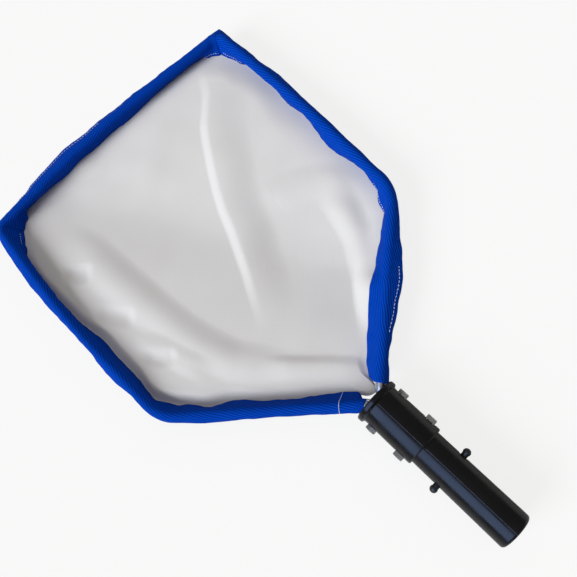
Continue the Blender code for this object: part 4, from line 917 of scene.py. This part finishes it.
# The ridge is half buried, and dips under the surface at both ends of each run.
MOULD_LINE_WIDTH, MOULD_LINE_HEIGHT = 0.0005, 0.00014
MOULD_LINE_OVERLAP, MOULD_LINE_DIP = 0.0005, 0.0003
FLANGE_THICKNESS = 0.0046
HOUSING_RADIUS = 0.0168
# The ridge's plastic is painted several times lighter than the housing's own: a painted highlight along the
# top.
highlit_line_plastic, _ = hard_material("mould_line_painted_highlight", (0.012, 0.013, 0.016), (0.026, 0.028, 0.034), 0.30, 0.16,
                                Streaks=700.0, Patches=70.0)
tube_low, tube_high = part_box("pole_insert_tube")
for name, radius, front, rear in (
        ("housing_mould_line", HOUSING_RADIUS, housing_high.y - FLANGE_THICKNESS, housing_low.y),
        ("tube_mould_line", (tube_high.x - tube_low.x) / 2, housing_low.y, tube_low.y)):
    s = np.linspace(0.0, 1.0, 60)[:, None]
    turn = np.linspace(0.0, 2 * np.pi, 8, endpoint=False)
    dip = MOULD_LINE_DIP * np.maximum(1.0 - np.minimum(s, 1.0 - s) / 0.03, 0.0)
    x = mouth[0] + MOULD_LINE_WIDTH / 2 * np.cos(turn)
    y = front - MOULD_LINE_OVERLAP + (rear - front + 2 * MOULD_LINE_OVERLAP) * s
    z = mouth[2] + radius - dip + MOULD_LINE_HEIGHT * np.sin(turn)
    ridge_points = np.stack(np.broadcast_arrays(x, y, z), axis=-1)
    ridge = grid_object(name, ridge_points, highlit_line_plastic, close_round=True)
    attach(ridge, "root")


# ---- bolts and nuts: two M5 hexagon bolts and their nuts, bright zinc on steel. The front one clamps both
# rod ends in the housing, the rear one rod ends, tube and housing together.
zinc_plate, _ = hard_material("zinc_plate", (0.42, 0.43, 0.44), (0.78, 0.79, 0.76), 0.24, 0.22, 1.0,
                              Grain=2500.0, Streaks=1500.0, Patches=600.0)
for node in ("front_bolt", "rear_bolt", "front_bolt_nut", "rear_bolt_nut"):
    smooth_copy(node, node + "_plated", zinc_plate, bevel=0.00012)


# ---- snap clip and buttons: one leaf of spring steel, rolled and bent to a U inside the tube. Each leaf
# carries a moulded nylon peg with a ball end, which stands out of the tube until it is pressed in.
steel_strip, _ = hard_material("steel_strip", (0.44, 0.44, 0.46), (0.64, 0.64, 0.65), 0.22, 0.14, 1.0,
                               Streaks=1800.0, Patches=300.0)
black_ball, _ = hard_material("moulded_ball", (0.008, 0.008, 0.010), (0.018, 0.018, 0.020), 0.34, 0.14,
                              Patches=400.0)
STRIP_EDGE = 0.00008
smooth_copy("snap_clip_bend", "clip_back", steel_strip, bevel=STRIP_EDGE)
for side in ("left", "right"):
    smooth_copy("snap_clip_" + side + "_arm", "clip_" + side + "_leaf", steel_strip,
                bevel=STRIP_EDGE, body=side + "_leaf")
    smooth_copy("snap_button_" + side, side + "_button_ball", black_ball, body=side + "_leaf")
